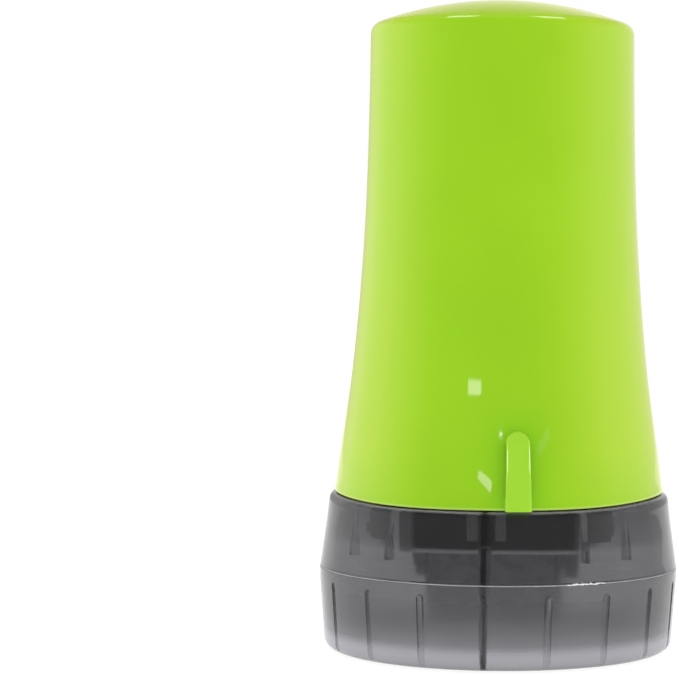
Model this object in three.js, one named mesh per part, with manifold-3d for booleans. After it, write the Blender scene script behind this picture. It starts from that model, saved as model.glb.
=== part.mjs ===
// A privacy roller stamp: a bell-shaped grip over a replaceable ink cartridge, in a fluted smoky cap.
// Millimetres, +Z up. The origin is the middle of the cap's base, and the front of the stamp faces -Y.
// The rollers turn about the X direction. Angles round the body are counted from the front towards +X.

import * as THREE from 'three';
import { mergeVertices } from 'three/addons/utils/BufferGeometryUtils.js';
import Module from 'manifold-3d';

const wasm = await Module();
wasm.setup();

// Clearances shared by pieces that meet
const seatGap = 0.3;
const slideGap = 0.3;
const runningGap = 0.05;
const gluedGap = 0.03;
const snapGap = 0.1;
const sideGap = 0.075;
const cutOverrun = 1;
const mergeDistance = 0.0001;

// Facet counts
const bodySegments = 60;
const rollerSegments = 40;
const hubSegments = 24;
const flangeSegments = 32;
const pinSegments = 16;
const wallSteps = 9;
const innerSteps = 5;
const domeSteps = 4;
const filletSteps = 3;
const cornerSteps = 3;
const padSteps = 2;
const arcSteps = 12;

// Grip shell
const overallHeight = 68.33;
const mouthHeight = 16.2;
const mouthRadius = 17.36;
const shoulderRadius = 13.88;
const domeRadius = 37.2;
const shoulderFillet = 1.3;
const shellWall = 1.5;
const ledgeRadius = 15;
const edgeRise = 0.6;
const edgeFade = 1.6;
const flareShares = [
  [0, 1], [0.055, 0.915], [0.1, 0.845], [0.185, 0.657], [0.27, 0.496], [0.357, 0.372],
  [0.444, 0.268], [0.53, 0.183], [0.616, 0.119], [0.7, 0.076], [0.8, 0.04], [0.9, 0.015], [1, 0],
];
const gripRibCount = 4;
const gripRibWidth = 1;
const gripRibDepth = 2;
const catchWidth = 5.2;
const catchHeight = 1.3;
const catchReach = 0.9;

// Strap bar on the front of the shell
const strapAngle = 10.1;
const strapTopHeight = 24.1;
const strapTopWidth = 2.3;
const strapFootWidth = 2.65;
const strapProud = 1.45;
const strapThickness = 0.75;
const strapFootHeight = 1.4;
const strapRootHeight = 1.3;
const strapRootDepth = 0.6;

// Cap, in two pieces welded at the seam
const seamHeight = 8.87;
const seamRadius = 18.85;
const seamLand = 0.95;
const capFootRadius = 18.35;
const capFillet = 1.2;
const capWall = 1.4;
const capFloor = 1.6;
const capCornerRadius = 0.9;
const baseRecess = 0.6;
const baseRingWidth = 3.2;
const baseRingBevel = 0.4;
const padHeight = 0.22;
const padCount = 3;
const padInner = 10.8;
const padOuter = 13;
const padArc = 17;
const coneTopHeight = 15.2;
const coneTopRadius = 17.98;
const rimGap = 0.15;
const lipRadius = 16.05;
const lipHeight = 0.85;
const lipBevel = 0.6;
const riseStart = 14;

// Flutes round the cap
const fluteCount = 18;
const fluteRadius = 0.42;
const fluteDepth = 0.32;
const fluteTopHeight = 7.8;
const fluteSegments = 8;

// Ribs inside the cap
const cornerRibAngle = 35;
const fingerRibAngle = 53;
const capRibWidth = 0.9;
const capRibFoot = 10.7;
const fingerRibReach = 2.2;
const keyRibWidth = 1.2;
const keyRibReach = 1.45;
const keyRibFoot = 7.6;
const keyTailWidth = 0.6;
const keyTailReach = 1.3;

// Chassis in the mouth of the shell
const plateThickness = 1.45;
const neckFoot = 11.5;
const sleeveWallX = 1.1;
const sleeveWallY = 1.3;
const neckCorner = 4;
const sleeveCorner = 3;
const sleeveTopHeight = 38;
const innerCorner = 0.6;
const fingerAngle = 44;
const fingerSpan = 12;
const fingerThickness = 1;
const fingerFoot = 12.6;
const beadFoot = 13.2;
const beadHeight = 1;
const beadReach = 0.35;
const prongWidth = 1;
const prongDepth = 1.1;
const prongFoot = 13;
const hookWidth = 4.4;
const hookThickness = 1.05;
const hookBarbReach = 0.8;
const hookBarbHeight = 1.4;
const catchFoot = 20.9;

// Stamp roller
const stampAxleHeight = 12.1;
const printRadius = 9.5;
const reliefHeight = 0.4;
const printWidth = 12.7;
const printLayer = 1.4;
const cushionLayer = 1.5;
const rimLayer = 1.2;
const webThickness = 2;
const hubWall = 1.5;
const bushWall = 0.85;
const bushLength = 4.2;
const flangeThickness = 0.5;
const flangeStep = 0.6;
const spigotLength = 1.2;
const spigotWall = 0.75;
const stampAxleRadius = 1.5;
const washerThickness = 0.3;
const washerWidth = 1.9;
const padRows = 15;
const padWidth = 1.7;
const padSink = 0.3;
const padRowShares = [
  [[0.03, 0.2], [0.27, 0.36], [0.44, 0.66], [0.73, 0.95]],
  [[0.05, 0.14], [0.22, 0.45], [0.54, 0.63], [0.71, 0.79], [0.87, 0.97]],
  [[0.02, 0.31], [0.39, 0.52], [0.6, 0.84], [0.91, 0.98]],
];

// Ink roller
const inkRadius = 6.3;
const inkContactGap = 0.25;
const foamLayer = 3.5;
const foamLength = 12.7;
const inkCollarThickness = 0.5;
const inkCollarRadius = 5.2;
const inkAxleRadius = 1;
const inkEndGap = 0.2;

// Cartridge that holds both rollers
const cheekThickness = 1.2;
const axleBossRadius = 4.6;
const cartridgeHalfDepth = 10.5;
const cartridgeTopHalfDepth = 7.4;
const kneeHeight = 17.5;
const waistHeight = 21.8;
const bridgeThickness = 1.4;
const bridgeClearance = 0.75;
const railThickness = 2;
const railFoot = 18.7;
const railHeight = 3;
const railPegRadius = 0.6;
const bridgePegRadius = 0.5;
const bridgePegPlace = 4.5;
const waistGap = 0.6;

// Places worked out from the sizes
const degree = Math.PI / 180;
const domeCentre = overallHeight - domeRadius;
const filletCentreRadius = shoulderRadius - shoulderFillet;
const filletReach = domeRadius - shoulderFillet;
const filletCentreHeight = domeCentre + Math.sqrt(filletReach ** 2 - filletCentreRadius ** 2);
const filletEnd = Math.atan2(filletCentreHeight - domeCentre, filletCentreRadius);
const rimHeight = mouthHeight - rimGap;
const inkAxleHeight = stampAxleHeight + printRadius + inkContactGap + inkRadius;
const cartridgeTopHeight = inkAxleHeight + inkRadius + bridgeClearance + bridgeThickness;
const rollerHalfLength = printWidth / 2 + flangeThickness;
const cheekInner = rollerHalfLength + washerThickness + 2 * sideGap;
const cheekOuter = cheekInner + cheekThickness;
const sleeveInnerX = cheekOuter + slideGap;
const sleeveInnerY = cartridgeHalfDepth + slideGap;
const sleeveTopInnerY = cartridgeTopHalfDepth + slideGap;
const sleeveOuterX = sleeveInnerX + sleeveWallX;
const sleeveOuterY = sleeveInnerY + sleeveWallY;
const sleeveTopOuterY = sleeveTopInnerY + sleeveWallY;
const waistRun = cartridgeHalfDepth - cartridgeTopHalfDepth;
const neckReach = Math.hypot(sleeveOuterX - neckCorner, sleeveOuterY - neckCorner) + neckCorner;
const cornerRibInner = neckReach + seatGap;
const fingerOuter = lipRadius - snapGap - beadReach;
const plateRadius = ledgeRadius + shellWall / 2 - seatGap;
const plateTop = mouthHeight + plateThickness;
const ledgeHeight = plateTop + seatGap;
const barbHeight = catchFoot + catchHeight + seatGap;
const hookBandTop = barbHeight + hookBarbHeight + seatGap;

const limePlastic = { color: 0x95d320, roughness: 0.25, metalness: 0 };
const smokyPlastic = { color: 0x57575c, roughness: 0.2, metalness: 0, transparent: true, opacity: 0.75 };
const blackPlastic = { color: 0x1c1c1e, roughness: 0.45, metalness: 0 };
const greyPlastic = { color: 0x3d3f43, roughness: 0.5, metalness: 0 };
const whiteAcetal = { color: 0xe4e2da, roughness: 0.4, metalness: 0 };
const printRubber = { color: 0x24262c, roughness: 0.75, metalness: 0 };
const cushionFoam = { color: 0x6f7278, roughness: 0.95, metalness: 0 };
const inkedFoam = { color: 0x15161c, roughness: 0.9, metalness: 0 };
const brightSteel = { color: 0xb9bcc0, roughness: 0.25, metalness: 1 };

// Shared helpers: solids, booleans and ways to make a form

function solid(geometry) {
  const bare = geometry.clone();
  bare.deleteAttribute('normal');
  bare.deleteAttribute('uv');
  const merged = mergeVertices(bare, mergeDistance);
  const corners = merged.index.array;
  const triVerts = [];
  for (let i = 0; i < corners.length; i += 3) {
    const [a, b, c] = [corners[i], corners[i + 1], corners[i + 2]];
    if (a !== b && b !== c && c !== a) {
      triVerts.push(a, b, c);
    }
  }
  return new wasm.Manifold(new wasm.Mesh({
    numProp: 3,
    vertProperties: merged.attributes.position.array,
    triVerts: new Uint32Array(triVerts),
  }));
}

function join(first, ...others) {
  return others.reduce((sum, other) => sum.add(other), first);
}

function cut(first, ...others) {
  return others.reduce((rest, other) => rest.subtract(other), first);
}

function piece(name, body, look) {
  const made = body.getMesh();
  const geometry = new THREE.BufferGeometry();
  geometry.setAttribute('position', new THREE.BufferAttribute(made.vertProperties, made.numProp));
  geometry.setIndex(new THREE.BufferAttribute(made.triVerts, 1));
  geometry.computeVertexNormals();
  const mesh = new THREE.Mesh(geometry, new THREE.MeshStandardMaterial(look));
  mesh.name = name;
  return mesh;
}

// A profile of [radius, height] pairs, outside first and upwards, turned about Z.
function turned(profile, segments, start = 0, sweep = 2 * Math.PI) {
  const points = profile.map(([radius, height]) => new THREE.Vector2(radius, height));
  return new THREE.LatheGeometry(points, segments, start, sweep).rotateX(Math.PI / 2);
}

// The X direction takes the place of Z, Y that of X, and Z that of Y.
function alongX(geometry) {
  return geometry.applyMatrix4(new THREE.Matrix4().set(0, 0, 1, 0, 1, 0, 0, 0, 0, 1, 0, 0, 0, 0, 0, 1));
}

// A ring or rod along X between two places.
function barrel(outer, inner, from, to, segments) {
  const profile = inner > 0
    ? [[inner, from], [outer, from], [outer, to], [inner, to], [inner, from]]
    : [[0, from], [outer, from], [outer, to], [0, to]];
  return solid(alongX(turned(profile, segments)));
}

function block([x0, x1], [y0, y1], [z0, z1]) {
  const box = new THREE.BoxGeometry(x1 - x0, y1 - y0, z1 - z0);
  return solid(box.translate((x0 + x1) / 2, (y0 + y1) / 2, (z0 + z1) / 2));
}

function extruded(shape, depth, curveSegments = arcSteps) {
  return new THREE.ExtrudeGeometry(shape, { depth, bevelEnabled: false, curveSegments });
}

// A stretch of an upright ring, with the angle of its middle and its span in degrees.
function ringArc([inner, outer], angle, span, [foot, top], steps) {
  const from = (angle - span / 2 - 90) * degree;
  const to = (angle + span / 2 - 90) * degree;
  const shape = new THREE.Shape();
  shape.absarc(0, 0, outer, from, to, false);
  shape.absarc(0, 0, inner, to, from, true);
  return solid(extruded(shape, top - foot, steps).translate(0, 0, foot));
}

// The same box or shape turned about Z to a place round the body.
function roundBody(geometry, angle) {
  return geometry.rotateZ(angle * degree);
}

function arc(centreX, centreY, radiusX, radiusY, from, to, steps) {
  const points = [];
  for (let i = 0; i <= steps; i++) {
    const angle = from + (to - from) * i / steps;
    points.push([centreX + radiusX * Math.cos(angle), centreY + radiusY * Math.sin(angle)]);
  }
  return points;
}

// The mouth of the shell and the rim of the cap lie a little higher at the sides than at the front.
function raiseSides(geometry, from, to) {
  const place = geometry.attributes.position;
  for (let i = 0; i < place.count; i++) {
    const [x, y, z] = [place.getX(i), place.getY(i), place.getZ(i)];
    const share = THREE.MathUtils.clamp((z - from) / (to - from), 0, 1);
    const side = x === 0 ? 0 : x * x / (x * x + y * y);
    place.setZ(i, z + edgeRise * share * side * side);
  }
  return geometry;
}

// A solid through cross-sections of equally many points, listed upwards.
function loft(sections) {
  const count = sections[0].length;
  const corners = [];
  for (let s = 0; s + 1 < sections.length; s++) {
    for (let i = 0; i < count; i++) {
      const [a, b] = [s * count + i, s * count + (i + 1) % count];
      corners.push(a, b, b + count, a, b + count, a + count);
    }
  }
  const last = (sections.length - 1) * count;
  for (let i = 1; i + 1 < count; i++) {
    corners.push(0, i + 1, i);
    corners.push(last, last + i, last + i + 1);
  }
  const geometry = new THREE.BufferGeometry();
  geometry.setAttribute('position', new THREE.Float32BufferAttribute(sections.flat(2), 3));
  geometry.setIndex(corners);
  return geometry;
}

function roundedSection(halfX, halfY, corner, height) {
  const points = [];
  const centres = [[1, 1], [-1, 1], [-1, -1], [1, -1]];
  centres.forEach(([signX, signY], i) => {
    const [x, y] = [signX * (halfX - corner), signY * (halfY - corner)];
    const start = i * Math.PI / 2;
    for (const [px, py] of arc(x, y, corner, corner, start, start + Math.PI / 2, cornerSteps)) {
      points.push([px, py, height]);
    }
  });
  return points;
}

// Grip shell

function wallRadius(height) {
  const share = (height - mouthHeight) / (filletCentreHeight - mouthHeight);
  const spline = new THREE.SplineCurve(flareShares.map(([x, y]) => new THREE.Vector2(x, y)));
  const sample = spline.getPoints(flareShares.length * arcSteps);
  const after = Math.max(1, sample.findIndex((point) => point.x >= share));
  const [low, high] = [sample[after - 1], sample[after]];
  const flare = THREE.MathUtils.mapLinear(share, low.x, high.x, low.y, high.y);
  return shoulderRadius + (mouthRadius - shoulderRadius) * flare;
}

function gripShell() {
  const outside = [];
  const inside = [[ledgeRadius, hookBandTop]];
  for (let i = 0; i <= wallSteps; i++) {
    const height = THREE.MathUtils.lerp(mouthHeight, filletCentreHeight, i / wallSteps);
    outside.push([wallRadius(height), height]);
  }
  for (let i = 1; i < innerSteps; i++) {
    const height = THREE.MathUtils.lerp(hookBandTop, filletCentreHeight, i / innerSteps);
    inside.push([Math.min(ledgeRadius, wallRadius(height) - shellWall), height]);
  }
  const [filletR, filletZ] = [filletCentreRadius, filletCentreHeight];
  const fillet = arc(filletR, filletZ, shoulderFillet, shoulderFillet, 0, filletEnd, filletSteps);
  const dome = arc(0, domeCentre, domeRadius, domeRadius, filletEnd, Math.PI / 2, domeSteps);
  outside.push(...fillet.slice(1), ...dome.slice(1, -1), [0, overallHeight]);
  const hollow = domeRadius - shellWall;
  const corner = Math.acos((shoulderRadius - shellWall) / hollow);
  inside.push(...arc(0, domeCentre, hollow, hollow, corner, Math.PI / 2, domeSteps).slice(0, -1));
  inside.push([0, domeCentre + hollow]);
  const seatRadius = plateRadius + seatGap;
  const seat = [[ledgeRadius, ledgeHeight], [seatRadius, ledgeHeight], [seatRadius, mouthHeight]];
  const profile = [...outside, ...inside.reverse(), ...seat, outside[0]];
  const bell = solid(raiseSides(turned(profile, bodySegments), mouthHeight + edgeFade, mouthHeight));
  const body = join(bell, strapBar(), ...gripRibs(), ...hookCatches());
  return piece('grip_shell', cut(body, strapGap()), limePlastic);
}

// The bar is a bridge: its side view, extruded, is trimmed by its front view, and the gap is cut behind it.
function strapPlane(geometry, width) {
  const quarter = Math.PI / 2;
  return roundBody(geometry.translate(0, 0, -width / 2).rotateX(quarter).rotateZ(-quarter), strapAngle);
}

function strapBar() {
  const side = new THREE.Shape();
  const rootHeight = strapTopHeight - strapRootHeight;
  side.moveTo(mouthRadius - strapRootDepth, mouthHeight);
  side.lineTo(mouthRadius + strapProud, mouthHeight);
  for (let i = 1; i <= cornerSteps; i++) {
    const height = THREE.MathUtils.lerp(mouthHeight, rootHeight, i / cornerSteps);
    side.lineTo(wallRadius(height) + strapProud, height);
  }
  const foot = wallRadius(rootHeight);
  const shoulder = arc(foot, rootHeight, strapProud, strapRootHeight, 0, Math.PI / 2, filletSteps);
  for (const [x, y] of shoulder.slice(1)) {
    side.lineTo(x, y);
  }
  side.lineTo(foot - strapRootDepth, strapTopHeight);
  const bar = solid(strapPlane(extruded(side, strapFootWidth), strapFootWidth));
  const front = new THREE.Shape();
  const topHalf = strapTopWidth / 2;
  const footHalf = strapFootWidth / 2;
  const lowest = mouthHeight - cutOverrun;
  front.moveTo(-footHalf, lowest);
  front.lineTo(footHalf, lowest);
  front.lineTo(footHalf, mouthHeight);
  for (const [x, y] of arc(0, strapTopHeight - topHalf, topHalf, topHalf, 0, Math.PI, 2 * filletSteps)) {
    front.lineTo(x, y);
  }
  front.lineTo(-footHalf, mouthHeight);
  const reach = mouthRadius + strapProud + cutOverrun;
  const view = extruded(front, reach).rotateX(Math.PI / 2);
  return bar.intersect(solid(roundBody(view, strapAngle)));
}

function strapGap() {
  const gap = new THREE.Shape();
  const [low, high] = [mouthHeight + strapFootHeight, strapTopHeight - strapRootHeight];
  const heights = [];
  for (let i = 0; i <= cornerSteps; i++) {
    heights.push(THREE.MathUtils.lerp(low, high, i / cornerSteps));
  }
  const outer = heights.map((height) => [wallRadius(height) + strapProud - strapThickness, height]);
  const inner = heights.map((height) => [wallRadius(height), height]);
  gap.setFromPoints([...outer, ...inner.reverse()].map(([x, y]) => new THREE.Vector2(x, y)));
  const width = strapFootWidth + 2 * cutOverrun;
  return solid(strapPlane(extruded(gap, width), width));
}

// Ribs inside the top of the grip, whose lower ends hold the sleeve of the chassis down.
function gripRibs() {
  const ribs = [];
  const foot = sleeveTopHeight + seatGap;
  const top = filletCentreHeight;
  const outer = shoulderRadius - shellWall / 2;
  for (let i = 0; i < gripRibCount; i++) {
    const inner = shoulderRadius - shellWall - gripRibDepth;
    const rib = new THREE.BoxGeometry(outer - inner, gripRibWidth, top - foot);
    rib.translate((outer + inner) / 2, 0, (top + foot) / 2);
    ribs.push(solid(roundBody(rib, (i + 1 / 2) * 360 / gripRibCount)));
  }
  return ribs;
}

function hookCatches() {
  const outer = ledgeRadius + shellWall / 2;
  const inner = ledgeRadius - catchReach;
  return [-1, 1].map((side) => block([-catchWidth / 2, catchWidth / 2],
    [side * outer, side * inner].sort((a, b) => a - b), [catchFoot, catchFoot + catchHeight]));
}

// Chassis: plate, neck and sleeve in one moulding, with snap fingers for the cap

function snapFinger(angle) {
  const stemHeights = [fingerFoot, mouthHeight + plateThickness / 2];
  const beadHeights = [beadFoot, beadFoot + beadHeight];
  const stemRadii = [fingerOuter - fingerThickness, fingerOuter];
  const beadRadii = [fingerOuter - fingerThickness / 2, fingerOuter + beadReach];
  const stem = ringArc(stemRadii, angle, fingerSpan, stemHeights, filletSteps);
  return join(stem, ringArc(beadRadii, angle, fingerSpan, beadHeights, filletSteps));
}

function keyProng(side) {
  const inner = keyRibWidth / 2 + seatGap;
  const across = [side * inner, side * (inner + prongWidth)].sort((a, b) => a - b);
  const outer = -plateRadius;
  return block(across, [outer, outer + prongDepth], [prongFoot, mouthHeight + plateThickness / 2]);
}

function shellHook(side) {
  const outer = ledgeRadius - catchReach - seatGap;
  const inner = outer - hookThickness;
  const top = barbHeight + hookBarbHeight;
  const across = [-hookWidth / 2, hookWidth / 2];
  const armDepth = [side * inner, side * outer].sort((a, b) => a - b);
  const barbDepth = [side * inner, side * (outer + hookBarbReach)].sort((a, b) => a - b);
  const arm = block(across, armDepth, [mouthHeight + plateThickness / 2, top]);
  return join(arm, block(across, barbDepth, [barbHeight, top]));
}

function chassis() {
  const low = waistHeight + waistGap;
  const high = low + waistRun;
  const outer = solid(loft([
    roundedSection(sleeveOuterX, sleeveOuterY, neckCorner, neckFoot),
    roundedSection(sleeveOuterX, sleeveOuterY, neckCorner, low),
    roundedSection(sleeveOuterX, sleeveTopOuterY, sleeveCorner, high),
    roundedSection(sleeveOuterX, sleeveTopOuterY, sleeveCorner, sleeveTopHeight),
  ]));
  const inner = solid(loft([
    roundedSection(sleeveInnerX, sleeveInnerY, innerCorner, neckFoot - cutOverrun),
    roundedSection(sleeveInnerX, sleeveInnerY, innerCorner, low),
    roundedSection(sleeveInnerX, sleeveTopInnerY, innerCorner, high),
    roundedSection(sleeveInnerX, sleeveTopInnerY, innerCorner, sleeveTopHeight + cutOverrun),
  ]));
  const disc = [[0, mouthHeight], [plateRadius, mouthHeight], [plateRadius, plateTop], [0, plateTop]];
  const plate = solid(turned(disc, bodySegments));
  const fingers = [fingerAngle, 180 - fingerAngle, 180 + fingerAngle, 360 - fingerAngle].map(snapFinger);
  const body = join(outer, plate, ...fingers, keyProng(1), keyProng(-1), shellHook(1), shellHook(-1));
  return piece('chassis', cut(body, inner), blackPlastic);
}

// Cap: the fluted cup below the seam and the conical collar above it

// Everything inside the middle of the cap's wall, which trims the outer ends of the ribs.
function insideCap() {
  const inset = capWall / 2;
  return solid(turned([
    [0, capFloor / 2],
    [capFootRadius - inset, capFloor / 2],
    [seamRadius - inset, seamHeight - seamLand],
    [seamRadius - inset, seamHeight],
    [coneTopRadius - inset, coneTopHeight],
    [coneTopRadius - inset, rimHeight],
    [0, rimHeight],
  ], bodySegments));
}

function flute(index) {
  const drop = seamHeight - seamLand - capFillet - padHeight;
  const lean = Math.atan2(seamRadius - capFootRadius, drop);
  const length = (fluteTopHeight + cutOverrun) / Math.cos(lean);
  const tip = arc(0, -fluteRadius, fluteRadius, fluteRadius, 0, Math.PI / 2, filletSteps - 1).slice(0, -1);
  const tool = turned([[0, -length], [fluteRadius, -length], ...tip, [0, 0]], fluteSegments);
  tool.rotateX(lean);
  const place = seamRadius + fluteRadius - fluteDepth;
  tool.translate(0, -place, fluteTopHeight);
  return solid(roundBody(tool, index * 360 / fluteCount));
}

function capRib(angle, width, inner, foot, top) {
  const shape = new THREE.Shape();
  shape.moveTo(width / 2, top);
  shape.lineTo(-width / 2, top);
  for (const [x, y] of arc(0, foot + width / 2, width / 2, width / 2, Math.PI, 2 * Math.PI, filletSteps)) {
    shape.lineTo(x, y);
  }
  const reach = Math.max(seamRadius, coneTopRadius) - inner;
  const rib = extruded(shape, reach).rotateX(Math.PI / 2).translate(0, -inner, 0);
  return solid(roundBody(rib, angle)).intersect(insideCap());
}

function capCup() {
  const innerTop = seamRadius - capWall;
  const innerFoot = capFootRadius - capWall;
  const ringInner = capFootRadius - capFillet - baseRingWidth;
  const [filletR, filletZ] = [capFootRadius - capFillet, padHeight + capFillet];
  const outside = [
    [0, baseRecess],
    [ringInner - baseRingBevel, baseRecess],
    [ringInner, padHeight],
    ...arc(filletR, filletZ, capFillet, capFillet, -Math.PI / 2, 0, filletSteps),
    [seamRadius, seamHeight - seamLand],
    [seamRadius, seamHeight],
  ];
  const [cornerR, cornerZ] = [innerFoot - capCornerRadius, capFloor + capCornerRadius];
  const corner = arc(cornerR, cornerZ, capCornerRadius, capCornerRadius, 0, -Math.PI / 2, filletSteps - 1);
  const inside = [[innerTop, seamHeight], [innerTop, seamHeight - seamLand], ...corner, [0, capFloor]];
  const cup = solid(turned([...outside, ...inside], bodySegments));
  const tailInner = innerFoot - keyTailReach;
  const keyInner = coneTopRadius - capWall - keyRibReach;
  const tail = capRib(0, keyTailWidth, tailInner, capFloor / 2, keyRibFoot + keyRibWidth / 2);
  const key = capRib(0, keyRibWidth, keyInner, keyRibFoot, seamHeight);
  const pads = [];
  for (let i = 0; i < padCount; i++) {
    const angle = (i + 1 / 2) * 360 / padCount;
    pads.push(ringArc([padInner, padOuter], angle, padArc, [0, (baseRecess + capFloor) / 2], padSteps));
  }
  const flutes = [];
  for (let i = 0; i < fluteCount; i++) {
    flutes.push(flute(i));
  }
  return piece('cap_cup', cut(join(cup, tail, key, ...pads), ...flutes), smokyPlastic);
}

function capCollar() {
  const shoulder = arc(mouthRadius, coneTopHeight, coneTopRadius - mouthRadius, rimHeight - coneTopHeight,
    0, Math.PI / 2, filletSteps);
  const innerTop = coneTopRadius - capWall;
  const profile = [
    [seamRadius, seamHeight],
    ...shoulder,
    [lipRadius, rimHeight],
    [lipRadius, rimHeight - lipHeight],
    [innerTop, rimHeight - lipHeight - lipBevel],
    [seamRadius - capWall, seamHeight],
    [seamRadius, seamHeight],
  ];
  const ring = solid(raiseSides(turned(profile, bodySegments), riseStart, rimHeight));
  const ribTop = rimHeight - lipHeight / 2;
  const ribs = [];
  const ribPlaces = [[cornerRibAngle, cornerRibInner], [fingerRibAngle, innerTop - fingerRibReach]];
  for (const [angle, inner] of ribPlaces) {
    for (const place of [angle, 180 - angle, 180 + angle, 360 - angle]) {
      ribs.push(capRib(place, capRibWidth, inner, capRibFoot, ribTop));
    }
  }
  const key = capRib(0, keyRibWidth, innerTop - keyRibReach, keyRibFoot, ribTop);
  const below = block([-keyRibWidth, keyRibWidth], [-seamRadius, 0], [0, seamHeight]);
  return piece('cap_collar', join(ring, ...ribs, cut(key, below)), smokyPlastic);
}

// Cartridge: a frame of one cheek, two rails and a bridge, closed by a cover with the other cheek

function cheekShape() {
  const shape = new THREE.Shape();
  const rise = kneeHeight - stampAxleHeight;
  const distance = Math.hypot(cartridgeHalfDepth, rise);
  const touch = Math.atan2(rise, cartridgeHalfDepth) - Math.acos(axleBossRadius / distance);
  shape.moveTo(cartridgeHalfDepth, kneeHeight);
  shape.lineTo(cartridgeHalfDepth, waistHeight);
  shape.lineTo(cartridgeTopHalfDepth, waistHeight + waistRun);
  shape.lineTo(cartridgeTopHalfDepth, cartridgeTopHeight);
  shape.lineTo(-cartridgeTopHalfDepth, cartridgeTopHeight);
  shape.lineTo(-cartridgeTopHalfDepth, waistHeight + waistRun);
  shape.lineTo(-cartridgeHalfDepth, waistHeight);
  shape.lineTo(-cartridgeHalfDepth, kneeHeight);
  shape.absarc(0, stampAxleHeight, axleBossRadius, Math.PI - touch, 2 * Math.PI + touch, false);
  return shape;
}

function cheek(from) {
  const plate = solid(alongX(extruded(cheekShape(), cheekThickness)).translate(from, 0, 0));
  const [low, high] = [from - cutOverrun, from + cheekThickness + cutOverrun];
  return cut(plate, axleBore(stampAxleRadius, stampAxleHeight, low, high),
    axleBore(inkAxleRadius, inkAxleHeight, low, high));
}

function rodAt(radius, y, z, from, to, segments) {
  const profile = [[0, from], [radius, from], [radius, to], [0, to]];
  return solid(alongX(turned(profile, segments)).translate(0, y, z));
}

function axleBore(radius, height, from, to) {
  return rodAt(radius + runningGap, 0, height, from, to, pinSegments);
}

const pegPlaces = [
  [cartridgeHalfDepth - railThickness / 2, railFoot + railHeight / 2, railPegRadius],
  [railThickness / 2 - cartridgeHalfDepth, railFoot + railHeight / 2, railPegRadius],
  [bridgePegPlace, cartridgeTopHeight - bridgeThickness / 2, bridgePegRadius],
  [-bridgePegPlace, cartridgeTopHeight - bridgeThickness / 2, bridgePegRadius],
];

function cartridgeFrame() {
  const across = [-cheekInner - cheekThickness / 2, cheekInner];
  const railHeights = [railFoot, railFoot + railHeight];
  const front = block(across, [-cartridgeHalfDepth, railThickness - cartridgeHalfDepth], railHeights);
  const back = block(across, [cartridgeHalfDepth - railThickness, cartridgeHalfDepth], railHeights);
  const bridge = block(across, [-cartridgeTopHalfDepth, cartridgeTopHalfDepth],
    [cartridgeTopHeight - bridgeThickness, cartridgeTopHeight]);
  const pegEnd = cheekOuter - snapGap;
  const pegRoot = cheekInner - cheekThickness;
  const pegs = pegPlaces.map(([y, z, radius]) => rodAt(radius, y, z, pegRoot, pegEnd, pinSegments));
  return piece('cartridge_frame', join(cheek(-cheekOuter), front, back, bridge, ...pegs), greyPlastic);
}

function cartridgeCover() {
  const holes = pegPlaces.map(([y, z, radius]) => rodAt(radius + runningGap, y, z, cheekInner - cutOverrun,
    cheekOuter + cutOverrun, pinSegments));
  return piece('cartridge_cover', cut(cheek(cheekInner), ...holes), greyPlastic);
}

function axle(name, radius, height) {
  const half = cheekOuter - snapGap;
  return piece(name, rodAt(radius, 0, height, -half, half, pinSegments), brightSteel);
}

function thrustWasher(name, side) {
  const near = rollerHalfLength + sideGap;
  const [from, to] = [side * near, side * (near + washerThickness)].sort((a, b) => a - b);
  const inner = stampAxleRadius + runningGap;
  const washer = barrel(inner + washerWidth, inner, from, to, hubSegments);
  return piece(name, washer, whiteAcetal);
}

// Stamp roller, made about its own axle: every layer takes its size from the print radius inwards

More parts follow.
